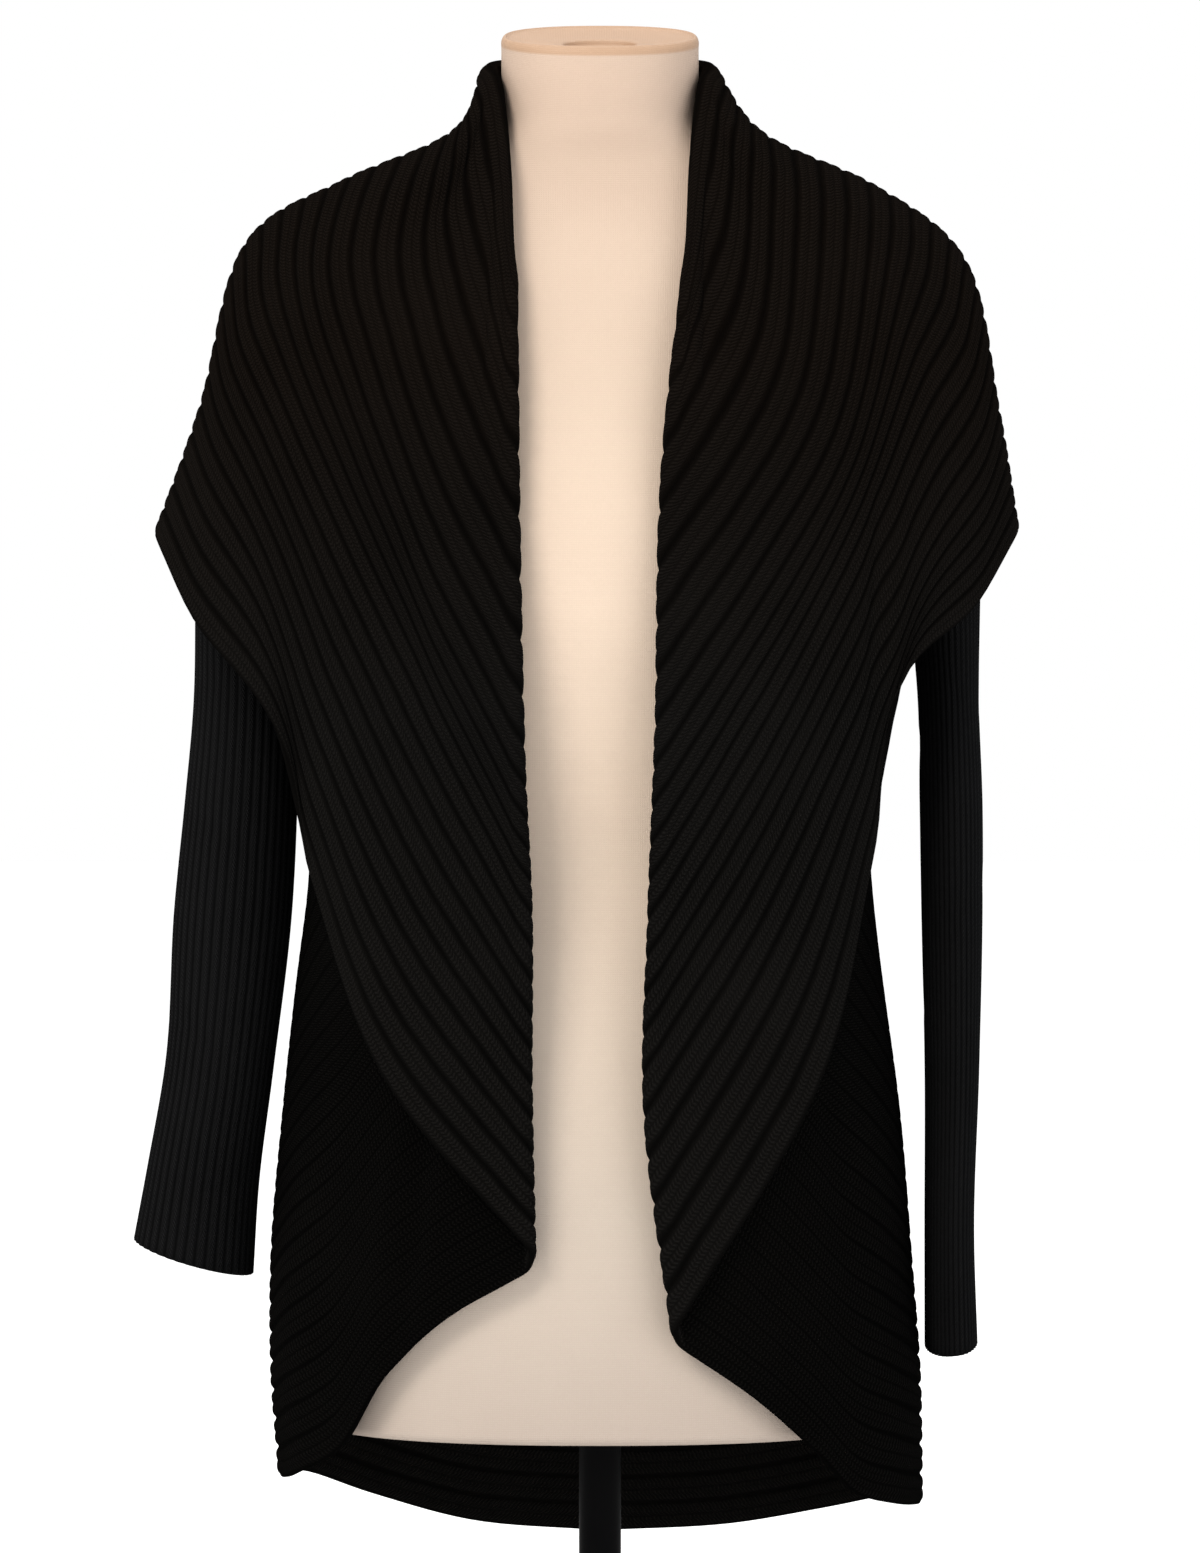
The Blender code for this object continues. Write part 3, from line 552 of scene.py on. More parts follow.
def cape_control(side, over):
    """Control rows of the cape, one for each rib of CAPE_RIBS under a first row at the neck."""
    ribs = [(FOLD_ROW + 1) / 2] + [row[0] for row in CAPE_RIBS[side]]
    control = np.zeros((len(ribs), FOLD - 1, 3))
    control[0] = over[: FOLD - 1]
    half_wall = CLOTH / 2 + RIB_HEIGHT / 2
    for k, (row, back) in enumerate(zip(CAPE_RIBS[side], CAPE_BACK)):
        side_x, side_z = row[1][0] - half_wall, row[1][1] - half_wall / 2
        behind = np.arange(SHOULDER + 1) / SHOULDER * np.pi / 2
        x = side_x * np.sin(behind) ** (2 / CAPE_POWER)
        y = back[1] * np.cos(behind) ** (2 / CAPE_POWER)
        z = back[2] + (side_z - back[2]) * np.sin(behind) ** 2
        control[k + 1, : SHOULDER + 1] = np.stack([x, y, z], axis=-1)
        front = np.array(row[2:6], float)
        y = -cape_front(side, front[:, 0], front[:, 1])
        control[k + 1, SHOULDER + 2 :] = np.stack([front[:, 0], y, front[:, 1]], axis=-1)
        behind_share = OVER_SHOULDER * control[k + 1, SHOULDER]
        across = behind_share + (1 - OVER_SHOULDER) * control[k + 1, SHOULDER + 2]
        across[1] = OVER_SHOULDER * control[k + 1, SHOULDER + 2, 1]
        control[k + 1, SHOULDER + 1] = across
    return ribs, control


def band_middle(side):
    """Middle surface of one half of the band as rows by columns, and its fold's line and frame."""
    grid = np.zeros((ROWS, LAST + 1, 3))
    neck_columns = [row[0] for row in NECK_FOLD]
    neck = smooth(neck_columns, [row[1:] for row in NECK_FOLD], np.arange(FOLD + 1))
    line = np.concatenate([neck, fold_rows(side)[1:]])
    out, past = fold_frame(line)
    over = line + out * FOLD_RADIUS
    turned = line + past * FOLD_RADIUS
    below = line - out * FOLD_RADIUS
    rows = np.arange(FOLD_ROW + 1, ROWS)
    ribs, control = cape_control(side, over)
    grid[rows, : FOLD - 1] = smooth(ribs, control, rows / 2)
    grid[FOLD_ROW, : FOLD + 1] = turned[: FOLD + 1]
    grid[rows, FOLD - 1] = over[FOLD + 1 :]
    grid[rows, FOLD] = turned[FOLD + 1 :]
    for row in range(FOLD_ROW, ROWS):
        start = below[FOLD + row - FOLD_ROW]
        grid[row, FOLD + 1 :] = under_row_line(side, row / (ROWS - 1), start)
        grid[row, FOLD + 1] = start
    seam = seam_line(side)
    for row in range(FOLD_ROW):
        stand = row / (FOLD_ROW - 1)
        rise = row / FOLD_ROW
        hug = stand**0.55
        grid[row, : FOLD + 1] = seam[: FOLD + 1] * (1 - stand) + below[: FOLD + 1] * stand
        hugged = seam[: FOLD + 1, :2] * (1 - hug) + below[: FOLD + 1, :2] * hug
        grid[row, : FOLD + 1, :2] = hugged
        grid[row, FOLD + 1 :] = seam[FOLD + 1 :] * (1 - rise) + grid[FOLD_ROW, FOLD + 1 :] * rise
    grid[:FOLD_ROW, : FOLD - 2] = push_out(grid[:FOLD_ROW, : FOLD - 2], COLLAR_CLEARANCE)
    grid[1:FOLD_ROW, FOLD - 2 :] = push_out(grid[1:FOLD_ROW, FOLD - 2 :], CHEST_CLEARANCE)
    first, last = SOFT_ROWS
    for _ in range(SOFT_TURNS):
        near = grid[first - 1 : last + 1, 2 : FOLD - 1]
        grid[first:last, 2 : FOLD - 1] = (near[:-2] + 2 * near[1:-1] + near[2:]) / 4
    grid[:, 0, 0] = SEAM_GAP / 2
    grid[:, LAST, 0] = SEAM_GAP / 2
    return grid, line[FOLD:], out[FOLD:], past[FOLD:]


def rounded_fold(side):
    """The band's grid with four more columns at the fold, so that it turns over on a half circle.

    Below the neck an added column lies at 45 and at 135 degrees of the turn, and one on each
    side of it along the cloth, so that cape and lower layer leave the fold at its tangent. A rib
    that comes to the fold at a slant crosses it as a helix: each of these points is moved along
    the fold by its angle past the middle times the slant.
    """
    grid, line, out, past = band_middle(side)
    lead = 6.0
    before, after = np.zeros((ROWS, 3)), np.zeros((ROWS, 3))
    upper, lower = np.zeros((ROWS, 3)), np.zeros((ROWS, 3))
    flat = slice(0, FOLD_ROW + 1)
    before[flat] = 0.2 * grid[flat, FOLD - 2] + 0.8 * grid[flat, FOLD - 1]
    after[flat] = 0.9 * grid[flat, FOLD + 1] + 0.1 * grid[flat, FOLD + 2]
    upper[flat] = (grid[flat, FOLD - 1] + grid[flat, FOLD]) / 2
    lower[flat] = (grid[flat, FOLD] + grid[flat, FOLD + 1]) / 2
    bent = slice(FOLD_ROW + 1, ROWS)
    line, out, past = line[1:], out[1:], past[1:]
    along = unit(np.gradient(line, axis=0))
    arriving = line - grid[bent, FOLD - 2]
    lean = (arriving * along).sum(axis=1) / np.maximum((arriving * past).sum(axis=1), 1.0)
    lean = np.clip(lean, 0.0, MOST_LEAN) * np.clip(np.arange(1, len(line) + 1) / 4, 0, 1)
    slide = along * (lean * FOLD_RADIUS * math.pi / 2)[:, None]
    grid[bent, FOLD - 1] -= slide
    grid[bent, FOLD + 1] += slide
    for made, start, goal in (
        (before, grid[bent, FOLD - 1], grid[bent, FOLD - 2]),
        (after, grid[bent, FOLD + 1], grid[bent, FOLD + 2]),
    ):
        way = goal - start
        way = unit(way - (way * out).sum(axis=1, keepdims=True) * out)
        made[bent] = start + way * lead
    half = FOLD_RADIUS * math.sqrt(0.5)
    upper[bent] = line + (out + past) * half - slide / 2
    lower[bent] = line + (past - out) * half + slide / 2
    added = [before, grid[:, FOLD - 1], upper, grid[:, FOLD], lower, grid[:, FOLD + 1], after]
    middle = np.stack(added, axis=1)
    return np.concatenate([grid[:, : FOLD - 1], middle, grid[:, FOLD + 2 :]], axis=1)


def grid_normals(grid, closed):
    """Unit normals of a grid of points; with closed, its columns run round a tube."""
    down = np.gradient(grid, axis=0)
    if closed:
        across = (np.roll(grid, -1, axis=1) - np.roll(grid, 1, axis=1)) / 2
    else:
        across = np.gradient(grid, axis=1)
    return unit(np.cross(down, across))


def rib_section(phase, groove, dip):
    """Height of a rib from 0 in its groove to 1: one minus a bell at each whole phase, less a
    shallow bell at each half phase between its two columns of loops."""
    from_groove = np.abs(phase - np.round(phase))
    from_middle = 0.5 - from_groove
    return 1 - np.exp(-((from_groove / groove) ** 2)) - dip * np.exp(-((from_middle / 0.09) ** 2))


def quads(rows, columns, closed):
    """Corner numbers of the faces of a grid, as an array."""
    r = np.arange(rows - 1)[:, None]
    c = np.arange(columns if closed else columns - 1)[None, :]
    n = (c + 1) % columns
    corners = [r * columns + c, r * columns + n, (r + 1) * columns + n, (r + 1) * columns + c]
    return np.stack(np.broadcast_arrays(*corners), axis=-1).reshape(-1, 4)


def shell(name, outer, inner, uv, material, slot, closed=False, ease=0.0, dim=0.0):
    """A thin closed wall between two grids of points, with rims, and UVs along and across its ribs.

    uv holds (along, across) of each grid point; a closed one has one column more than the grid.
    ease says how far the ribs are pulled flat and dim where they lie in the cape's shade: a number
    or a grid each, kept as the points' values "ease" and "dim".
    """
    rows, columns, _ = outer.shape
    shift = rows * columns
    points = np.concatenate([outer.reshape(-1, 3), inner.reshape(-1, 3)]) / 1000
    face = quads(rows, columns, closed)
    wide = uv.shape[1]
    at_corner = quads(rows, wide, False) if closed else face
    c = np.arange(columns if closed else columns - 1)
    n = (c + 1) % columns
    last = (rows - 1) * columns
    rims = [np.stack([n, c, c + shift, n + shift], axis=-1)]
    rims.append(np.stack([last + c, last + n, last + n + shift, last + c + shift], axis=-1))
    if not closed:
        r = np.arange(rows - 1) * columns
        end = r + columns - 1
        rims.append(np.stack([r, r + columns, r + columns + shift, r + shift], axis=-1))
        rims.append(np.stack([end + columns, end, end + shift, end + columns + shift], axis=-1))
    rim = np.concatenate(rims)
    faces = np.concatenate([face, face[:, ::-1] + shift, rim])
    flat_uv = uv.reshape(-1, 2)
    rim_column = (rim % shift) % columns
    rim_row = (rim % shift) // columns
    rim_uv = flat_uv[rim_row * wide + rim_column]
    corner_uv = np.concatenate([flat_uv[at_corner], flat_uv[at_corner[:, ::-1]], rim_uv])
    a, b, d = (points[faces[:, k]] for k in (0, 1, 2))
    e = points[faces[:, 3]]
    volume = (a * np.cross(b, d)).sum() + (a * np.cross(d, e)).sum()
    if volume < 0:
        faces, corner_uv = faces[:, ::-1], corner_uv[:, ::-1]
    made = mesh_object(name, points, faces, corner_uv, material, slot)
    for label, grid in (("ease", ease), ("dim", dim)):
        values = np.tile(np.broadcast_to(grid, (rows, columns)).reshape(-1), 2)
        layer = made.data.attributes.new(label, "FLOAT", "POINT")
        layer.data.foreach_set("value", values.astype(np.float32))
    return made


def mesh_object(name, points, faces, corner_uv, material, slot):
    """Puts points and faces of four corners into a smooth mesh that stands for its CAD node."""
    mesh = bpy.data.meshes.new(name)
    mesh.from_pydata(points.tolist(), [], faces.tolist())
    layer = mesh.uv_layers.new(name="UVMap")
    layer.data.foreach_set("uv", corner_uv.reshape(-1).astype(np.float32))
    mesh.polygons.foreach_set("use_smooth", np.ones(len(mesh.polygons), bool))
    mesh.materials.append(material)
    made = bpy.data.objects.new(name + "_cloth" if slot.endswith("knit") else name + "_piece", mesh)
    bpy.context.scene.collection.objects.link(made)
    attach(made, "root")
    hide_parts(name)
    return made


def mirrored(points, side):
    """Pieces are worked out at +X; the wearer's right lies at -X."""
    return points * np.array([-1.0 if side == "right" else 1.0, 1.0, 1.0])


def lengths_along(grid):
    """Distance of each point along its row from the row's first point."""
    step = np.linalg.norm(np.diff(grid, axis=1), axis=2)
    return np.concatenate([np.zeros((len(grid), 1)), np.cumsum(step, axis=1)], axis=1)


def finer(at, longest, fold_from, fold_to):
    """Places between the stations, with short steps from one station to another at the fold."""
    places = []
    for k in range(len(at) - 1):
        step = FOLD_STEP if fold_from <= k < fold_to else longest
        parts = max(1, math.ceil((at[k + 1] - at[k]) / step))
        places.append(at[k] + (at[k + 1] - at[k]) * np.arange(parts) / parts)
    return np.concatenate(places + [at[-1:]])


def band(side, material):
    """Half of the ribbed band: a strip that turns over on itself down the front."""
    control = rounded_fold(side)
    at = lengths_along(control[FOLD_ROW + 2 :]).mean(axis=0)
    places = finer(at, BAND_STEP, FOLD - 1, FOLD + 5)
    station = np.interp(places, at, np.arange(len(at)))
    rib = (np.arange(RIBS)[:, None] + np.array(RIB_PLACES)[None, :]).reshape(-1)
    rib = np.append(rib, RIBS)
    by_row = smooth(np.arange(ROWS), control, rib * 2)
    middle = np.moveaxis(smooth(at, np.moveaxis(by_row, 1, 0), places), 0, 1)
    from_rib = (rib - FOLD_ROW / 2 - 0.4) / CORNER_REACH[0]
    from_station = (station - FOLD - 0.5) / CORNER_REACH[1]
    corner = np.exp(-(from_rib**2))[:, None] * np.exp(-(from_station**2))
    corner = corner[1:-1, 1:-1, None] * 0.5
    for _ in range(CORNER_TURNS):
        near = (middle[:-2, 1:-1] + middle[2:, 1:-1] + middle[1:-1, :-2] + middle[1:-1, 2:]) / 4
        middle[1:-1, 1:-1] += (near - middle[1:-1, 1:-1]) * corner
    middle[:, 0, 0] = SEAM_GAP / 2
    middle[:, -1, 0] = SEAM_GAP / 2
    normal = grid_normals(middle, False)
    normal[:, [0, -1], 0] = 0.0
    normal = unit(normal)
    if normal[len(rib) // 2, len(places) // 4, 0] < 0:
        normal = -normal
    middle = creased(middle, CREASES["cape_" + side], station < FOLD)
    middle = creased(middle, CREASES["under_" + side], station > FOLD + 4)
    collar = np.clip((COLLAR_RIB - rib) / COLLAR_RIB_FADE, 0, 1)[:, None]
    collar = collar * np.clip((station - COLLAR_STATION) / COLLAR_STATION_FADE, 0, 1)
    collar *= station < FOLD + 3
    flat = np.maximum(straight(PULLED_FLAT, station), COLLAR_FLAT * collar)
    relief = straight(RELIEF, station) * (1 - COLLAR_RELIEF_LOST * collar)
    section = rib_section(rib, *WIDE_SECTION)[:, None, None]
    ridge = RIB_HEIGHT - relief[..., None] * (1 - section)
    outer = middle + normal * (CLOTH / 2 + ridge)
    inner = middle - normal * (CLOTH / 2 + ridge)
    along = lengths_along(middle) / LOOP
    uv = np.stack([along, np.broadcast_to(rib[:, None], along.shape)], axis=-1)
    outer, inner = mirrored(outer, side), mirrored(inner, side)
    dim = straight(SHADE, station)
    return shell("band_" + side, outer, inner, uv, material, "band_knit", ease=flat, dim=dim)


def pressed(points, creases):
    """How deep creases press each point: a trough, or a ridge where the depth is negative, runs
    along a line of the front or the back, bell-shaped across and fading toward its two ends."""
    x, y, z = np.moveaxis(points, -1, 0)
    deep = np.zeros_like(x)
    for facing, x_from, z_from, x_to, z_to, width, depth in creases:
        way = np.array([x_to - x_from, z_to - z_from], float)
        share = ((x - x_from) * way[0] + (z - z_from) * way[1]) / (way**2).sum()
        off = (x - x_from) * way[1] - (z - z_from) * way[0]
        bell = np.exp(-((off / np.linalg.norm(way) / width) ** 2))
        fade = np.sin(np.pi * np.clip(share, 0, 1)) ** 0.8
        deep += depth * bell * fade * (y * facing > 0)
    return deep


def creased(points, creases, where):
    """Creases of cloth round the body: pressed toward the upright axis, only where it says."""
    out = points * LEVEL
    out = out / np.maximum(np.linalg.norm(out, axis=-1, keepdims=True), 1e-6)
    return points - out * (pressed(points, creases) * where)[..., None]


def creased_tube(rings, creases):
    """Creases of a tube that stands beside the body: pressed toward the tube's own middle."""
    out = unit((rings - rings.mean(axis=1, keepdims=True)) * LEVEL)
    return rings - out * pressed(rings, creases)[..., None]


def toward(edge, inside, distance):
    return edge + unit(inside - edge) * distance


def spread(line, count, crowd=1.0):
    """Points along a line of straight spans; a crowd above 1 sets them closer at its start."""
    far = np.concatenate([[0], np.cumsum(np.linalg.norm(np.diff(line, axis=0), axis=1))])
    where = np.linspace(0, 1, count) ** crowd * far[-1]
    return np.stack([np.interp(where, far, line[:, k]) for k in range(3)], axis=-1)


def panel_middle():
    """Middle surface of the back panel: a grid blended from its four sewn edges."""
    half = {}
    for side in ("right", "left"):
        seam = seam_line(side)
        shares = [row[0] for row in BACK_ARMHOLE]
        armhole = smooth(shares, [row[1:] for row in BACK_ARMHOLE], np.linspace(0, 1, 6))
        sewn_side = np.concatenate([armhole, seam[SIDE : SIDE + 1]])
        waist = [seam[SIDE:][k : k + 2] for k in range(LAST - SIDE)]
        waist = [spread(span, n + 1)[:-1] for span, n in zip(waist, PANEL_WAIST_PARTS)]
        waist.append(seam[-1:])
        top = seam[list(PANEL_TOP_COLUMNS)]
        parts = (top, push_out(sewn_side, UNDER_CLEARANCE), np.concatenate(waist))
        half[side] = [mirrored(part, side) for part in parts]
    top = np.concatenate([half["right"][0][::-1], half["left"][0][1:]])
    bottom = np.concatenate([half["right"][2], half["left"][2][::-1][1:]])
    right, left = (spread(half[side][1], PANEL_ROWS, PANEL_CROWD) for side in ("right", "left"))
    wide = len(PANEL_TOP_COLUMNS) - 1
    u = np.linspace(0, 1, 2 * wide + 1)[None, :, None]
    v = np.linspace(0, 1, PANEL_ROWS)[:, None, None] ** PANEL_CROWD
    grid = (1 - v) * top[None] + v * bottom[None] + (1 - u) * right[:, None] + u * left[:, None]
    grid -= (1 - u) * (1 - v) * top[0] + u * (1 - v) * top[-1]
    grid -= (1 - u) * v * bottom[0] + u * v * bottom[-1]
    inner = grid[1:-1, 1:-1]
    x, z = inner[..., 0], inner[..., 2]
    back_depth = column(FORM_SECTIONS, 3, z)
    close = superellipse(x, column(FORM_SECTIONS, 1, z), back_depth, FORM_POWER)
    close += UNDER_CLEARANCE
    loose = superellipse(x, under_size("right", z)[0], column(UNDER_SECTIONS, 4, z), FORM_POWER)
    lower = np.clip(v[1:-1, :, 0] * 1.3 - 0.3, 0, 1) ** 1.5
    filled = close + (np.maximum(loose, close) - close) * lower
    beside = np.abs(2 * u[:, 1:-1, 0] - 1) ** 5
    inner[..., 1] = filled + (inner[..., 1] - filled) * beside
    grid = push_out(grid, UNDER_CLEARANCE)
    for edge, inside in ((0, 1), (-1, -2)):
        grid[edge] = toward(grid[edge], grid[inside], PANEL_INSET)
        grid[:, edge] = toward(grid[:, edge], grid[:, inside], PANEL_INSET)
    return grid


def back_panel(material):
    """The narrow-ribbed back from neck to waist, its ribs running down it."""
    control = panel_middle()
    across = np.linalg.norm(np.diff(control[PANEL_ROWS // 2], axis=0), axis=1)
    at = np.concatenate([[0], np.cumsum(across)])
    ribs = round(at[-1] / PANEL_RIB)
    rib = (np.arange(ribs)[:, None] + np.array(NARROW_PLACES)[None, :]).reshape(-1)
    rib = np.append(rib, ribs)
    down = np.linspace(0, PANEL_ROWS - 1, PANEL_LEVELS)
    by_row = smooth(np.arange(PANEL_ROWS), control, down)
    middle = np.moveaxis(smooth(at, np.moveaxis(by_row, 1, 0), rib / ribs * at[-1]), 0, 1)
    middle[2:-2] = creased(middle[2:-2], CREASES["back_panel"], True)
    normal = grid_normals(middle, False)
    if normal[PANEL_LEVELS // 2, len(rib) // 2, 1] < 0:
        normal = -normal
    ridge = SLEEVE_RIB_HEIGHT * rib_section(rib, *NARROW_SECTION)[None, :, None]
    outer = middle + normal * (CLOTH / 2 + ridge - SLEEVE_RIB_HEIGHT / 2)
    inner = middle - normal * CLOTH / 2
    along = lengths_along(np.moveaxis(middle, 1, 0)).T / LOOP
    uv = np.stack([along, np.broadcast_to(rib[None, :], along.shape)], axis=-1)
    return shell("back_panel", outer, inner, uv, material, "body_knit")


def sleeve_rings(side, turn):
    """Middle surface of a sleeve: Hermite curves from the armhole ring to the first level ring,
    then ellipses read from the sleeve's table, down to a cuff that rises toward its outside."""
    front = np.array([row[1:] for row in BODY_SEAM[6:10]], float)
    back = np.array([row[1:] for row in BACK_ARMHOLE], float)
    low = np.array([[159.0, 0.0, 746.0]])
    loop = np.concatenate([front, low, back[:0:-1], front[:1]])
    far = np.concatenate([[0], np.cumsum(np.linalg.norm(np.diff(loop, axis=0), axis=1))])
    ring = smooth(far, loop, turn / (2 * np.pi) * far[-1])
    ring = push_out(ring, UNDER_CLEARANCE) + np.array([ARMHOLE_GAP, 0.0, 0.0])
    table = SLEEVES[side][::-1]
    level = [row[0] for row in table]
    drop = np.linspace(0, 1, math.ceil((level[-1] - level[0]) / SLEEVE_STEP))[:, None]
    z = level[-1] + (level[0] - level[-1]) * drop
    inner, outer, deep = (smooth(level, [row[k] for row in table], z) for k in (1, 2, 3))
    half_wall = CLOTH / 2 + SLEEVE_RIB_HEIGHT / 2
    x = (inner + outer) / 2 + ((outer - inner) / 2 - half_wall) * np.cos(turn)
    y = -(deep - half_wall) * np.sin(turn)
    rise = CUFF_RISE[side] * drop**3 * np.cos(turn)
    rings = np.stack([x, y, z + rise], axis=-1)
    cap_drop = 45 * (1 + np.cos(turn))
    start = np.stack([40 - 10 * np.cos(turn), 0 * turn, -30 - cap_drop], axis=-1)
    end = np.stack([0 * turn, 0 * turn, -40 - 70 * (1 + np.cos(turn))], axis=-1)
    t = (np.arange(CAP_LEVELS) / CAP_LEVELS)[:, None, None]
    return np.concatenate([hermite(t, ring, start, rings[0], end), rings])


def sleeve(side, material):
    """A long narrow-ribbed sleeve, its ribs running down it."""
    rib = (np.arange(SLEEVE_RIBS)[:, None] + np.array(NARROW_PLACES)[None, :]).reshape(-1)
    turn = rib / SLEEVE_RIBS * 2 * np.pi
    middle = sleeve_rings(side, turn)
    middle = creased_tube(middle, CREASES["sleeve_" + side])
    normal = grid_normals(middle, True)
    if normal[-1, 0, 0] < 0:
        normal = -normal
    ridge = SLEEVE_RIB_HEIGHT * rib_section(rib, *NARROW_SECTION)[None, :, None]
    outer = middle + normal * (CLOTH / 2 + ridge)
    inner = middle - normal * CLOTH / 2
    along = lengths_along(np.moveaxis(middle, 1, 0)).T / LOOP
    along = np.concatenate([along, along[:, :1]], axis=1)
    across = np.broadcast_to(np.append(rib, SLEEVE_RIBS), along.shape)
    uv = np.stack([along, across], axis=-1)
    outer, inner = mirrored(outer, side), mirrored(inner, side)
    return shell("sleeve_" + side, outer, inner, uv, material, "body_knit", closed=True)


def turned(name, rings, material, slot):
    """A closed solid of stacked rings of points, with a point in the middle of each end."""
    count, around, _ = rings.shape
    ends = np.stack([rings[0].mean(axis=0), rings[-1].mean(axis=0)])
    first, last = np.repeat(ends[:1], around, axis=0), np.repeat(ends[1:], around, axis=0)
    grid = np.concatenate([first[None], rings, last[None]])
    points = grid.reshape(-1, 3) / 1000
    faces = quads(count + 2, around, True)
    wide = around + 1
    corner = quads(count + 2, wide, False)
    down = np.arange(count + 2)[:, None] + 0 * np.arange(wide)[None, :]
    across = np.arange(wide)[None, :] / around + 0 * down
    uv = np.stack([across, down / (count + 1)], axis=-1).reshape(-1, 2)[corner]
    made = mesh_object(name, points, faces, uv, material, slot)
    join_poles(made)
    made.data.update()
    return made


def join_poles(made):
    """Joins the points that meet at each pole and turns every face outward."""
    work = bmesh.new()
    work.from_mesh(made.data)
    bmesh.ops.remove_doubles(work, verts=work.verts, dist=1e-6)
    bmesh.ops.dissolve_degenerate(work, edges=work.edges, dist=1e-7)
    bmesh.ops.recalc_face_normals(work, faces=work.faces)
    work.to_mesh(made.data)
    work.free()


def dress_form(material):
    """Smooth sections from the flat foot to the neck, and a slanted, dished neck top."""
    turn = np.arange(FORM_AROUND) / FORM_AROUND * 2 * np.pi
    c, s = np.cos(turn), np.sin(turn)
    power = 2 / FORM_POWER
    levels = np.linspace(FORM_SECTIONS[0][0], FORM_SECTIONS[-1][0], FORM_LEVELS)[:, None]
    room = straight(FORM_ROOM, levels)
    width = column(FORM_SECTIONS, 1, levels) - room
    front, back = column(FORM_SECTIONS, 2, levels), column(FORM_SECTIONS, 3, levels)
    depth = np.where(s < 0, front, back) - room
    x = width * np.sign(c) * np.abs(c) ** power
    y = depth * np.sign(s) * np.abs(s) ** power
    rings = list(np.stack([x, y, 0 * x + levels], axis=-1))
    rim = rings[-1]
    middle = (NECK_TOP_FRONT + NECK_TOP_BACK) / 2
    tilt = (NECK_TOP_BACK - NECK_TOP_FRONT) / (rim[:, 1].max() - rim[:, 1].min())
    dish = np.array(((1.0, 6.0), (1.0, 1.5)) + NECK_DISH, float)
    steps = np.linspace(0, len(dish) - 1, DISH_RINGS)
    for share, drop in smooth(np.arange(len(dish)), dish, steps):
        ring = rim * np.array([share, share, 0.0])
        tuck = np.exp(-((s / 0.16) ** 2)) * np.exp(-(((share - 0.68) / 0.16) ** 2))
        ring[:, 2] = middle + tilt * ring[:, 1] - drop - 1.6 * tuck
        rings.append(ring)
    return turned("dress_form", np.array(rings), material, "jersey_cover")


def lathe(name, profile, material):
    """Turns a profile of (radius, height) pairs about the upright axis."""
    turn = np.arange(STAND_AROUND) / STAND_AROUND * 2 * np.pi
    circle = np.stack([np.cos(turn), np.sin(turn), 0 * turn], axis=-1)
    lift = np.array([0.0, 0.0, 1.0])
    rings = [circle * radius + lift * height for radius, height in profile]
    made = turned(name, np.array(rings), material, "black_metal")
    made.data.set_sharp_from_angle(angle=math.radians(40))
    return made


def rounded(radius, low, high, edge):
    """Profile of a disc whose two edges are quarter circles."""
    bend = np.linspace(0, np.pi / 2, 7)
    lower = [(radius - edge + edge * math.sin(a), low + edge - edge * math.cos(a)) for a in bend]
    upper = [(radius - edge + edge * math.cos(a), high - edge + edge * math.sin(a)) for a in bend]
    return lower + upper


def stand(material):
    """Pole with its flange, and the round base."""
    foot = BASE_THICKNESS + REST_GAP
    top = FORM_SECTIONS[0][0] - REST_GAP
    flange = top - FLANGE_THICKNESS
    pole = [(POLE_RADIUS, foot), (POLE_RADIUS, flange - 4)]
    bend = np.linspace(0, np.pi / 2, 6)
    pole += [(POLE_RADIUS + 4 - 4 * math.cos(a), flange - 4 + 4 * math.sin(a)) for a in bend]
    pole += rounded(FLANGE_RADIUS, flange, top, 1.5)
    lathe("stand_pole", pole, material)
    lathe("stand_base", rounded(BASE_RADIUS, 0.0, BASE_THICKNESS, 2.0), material)


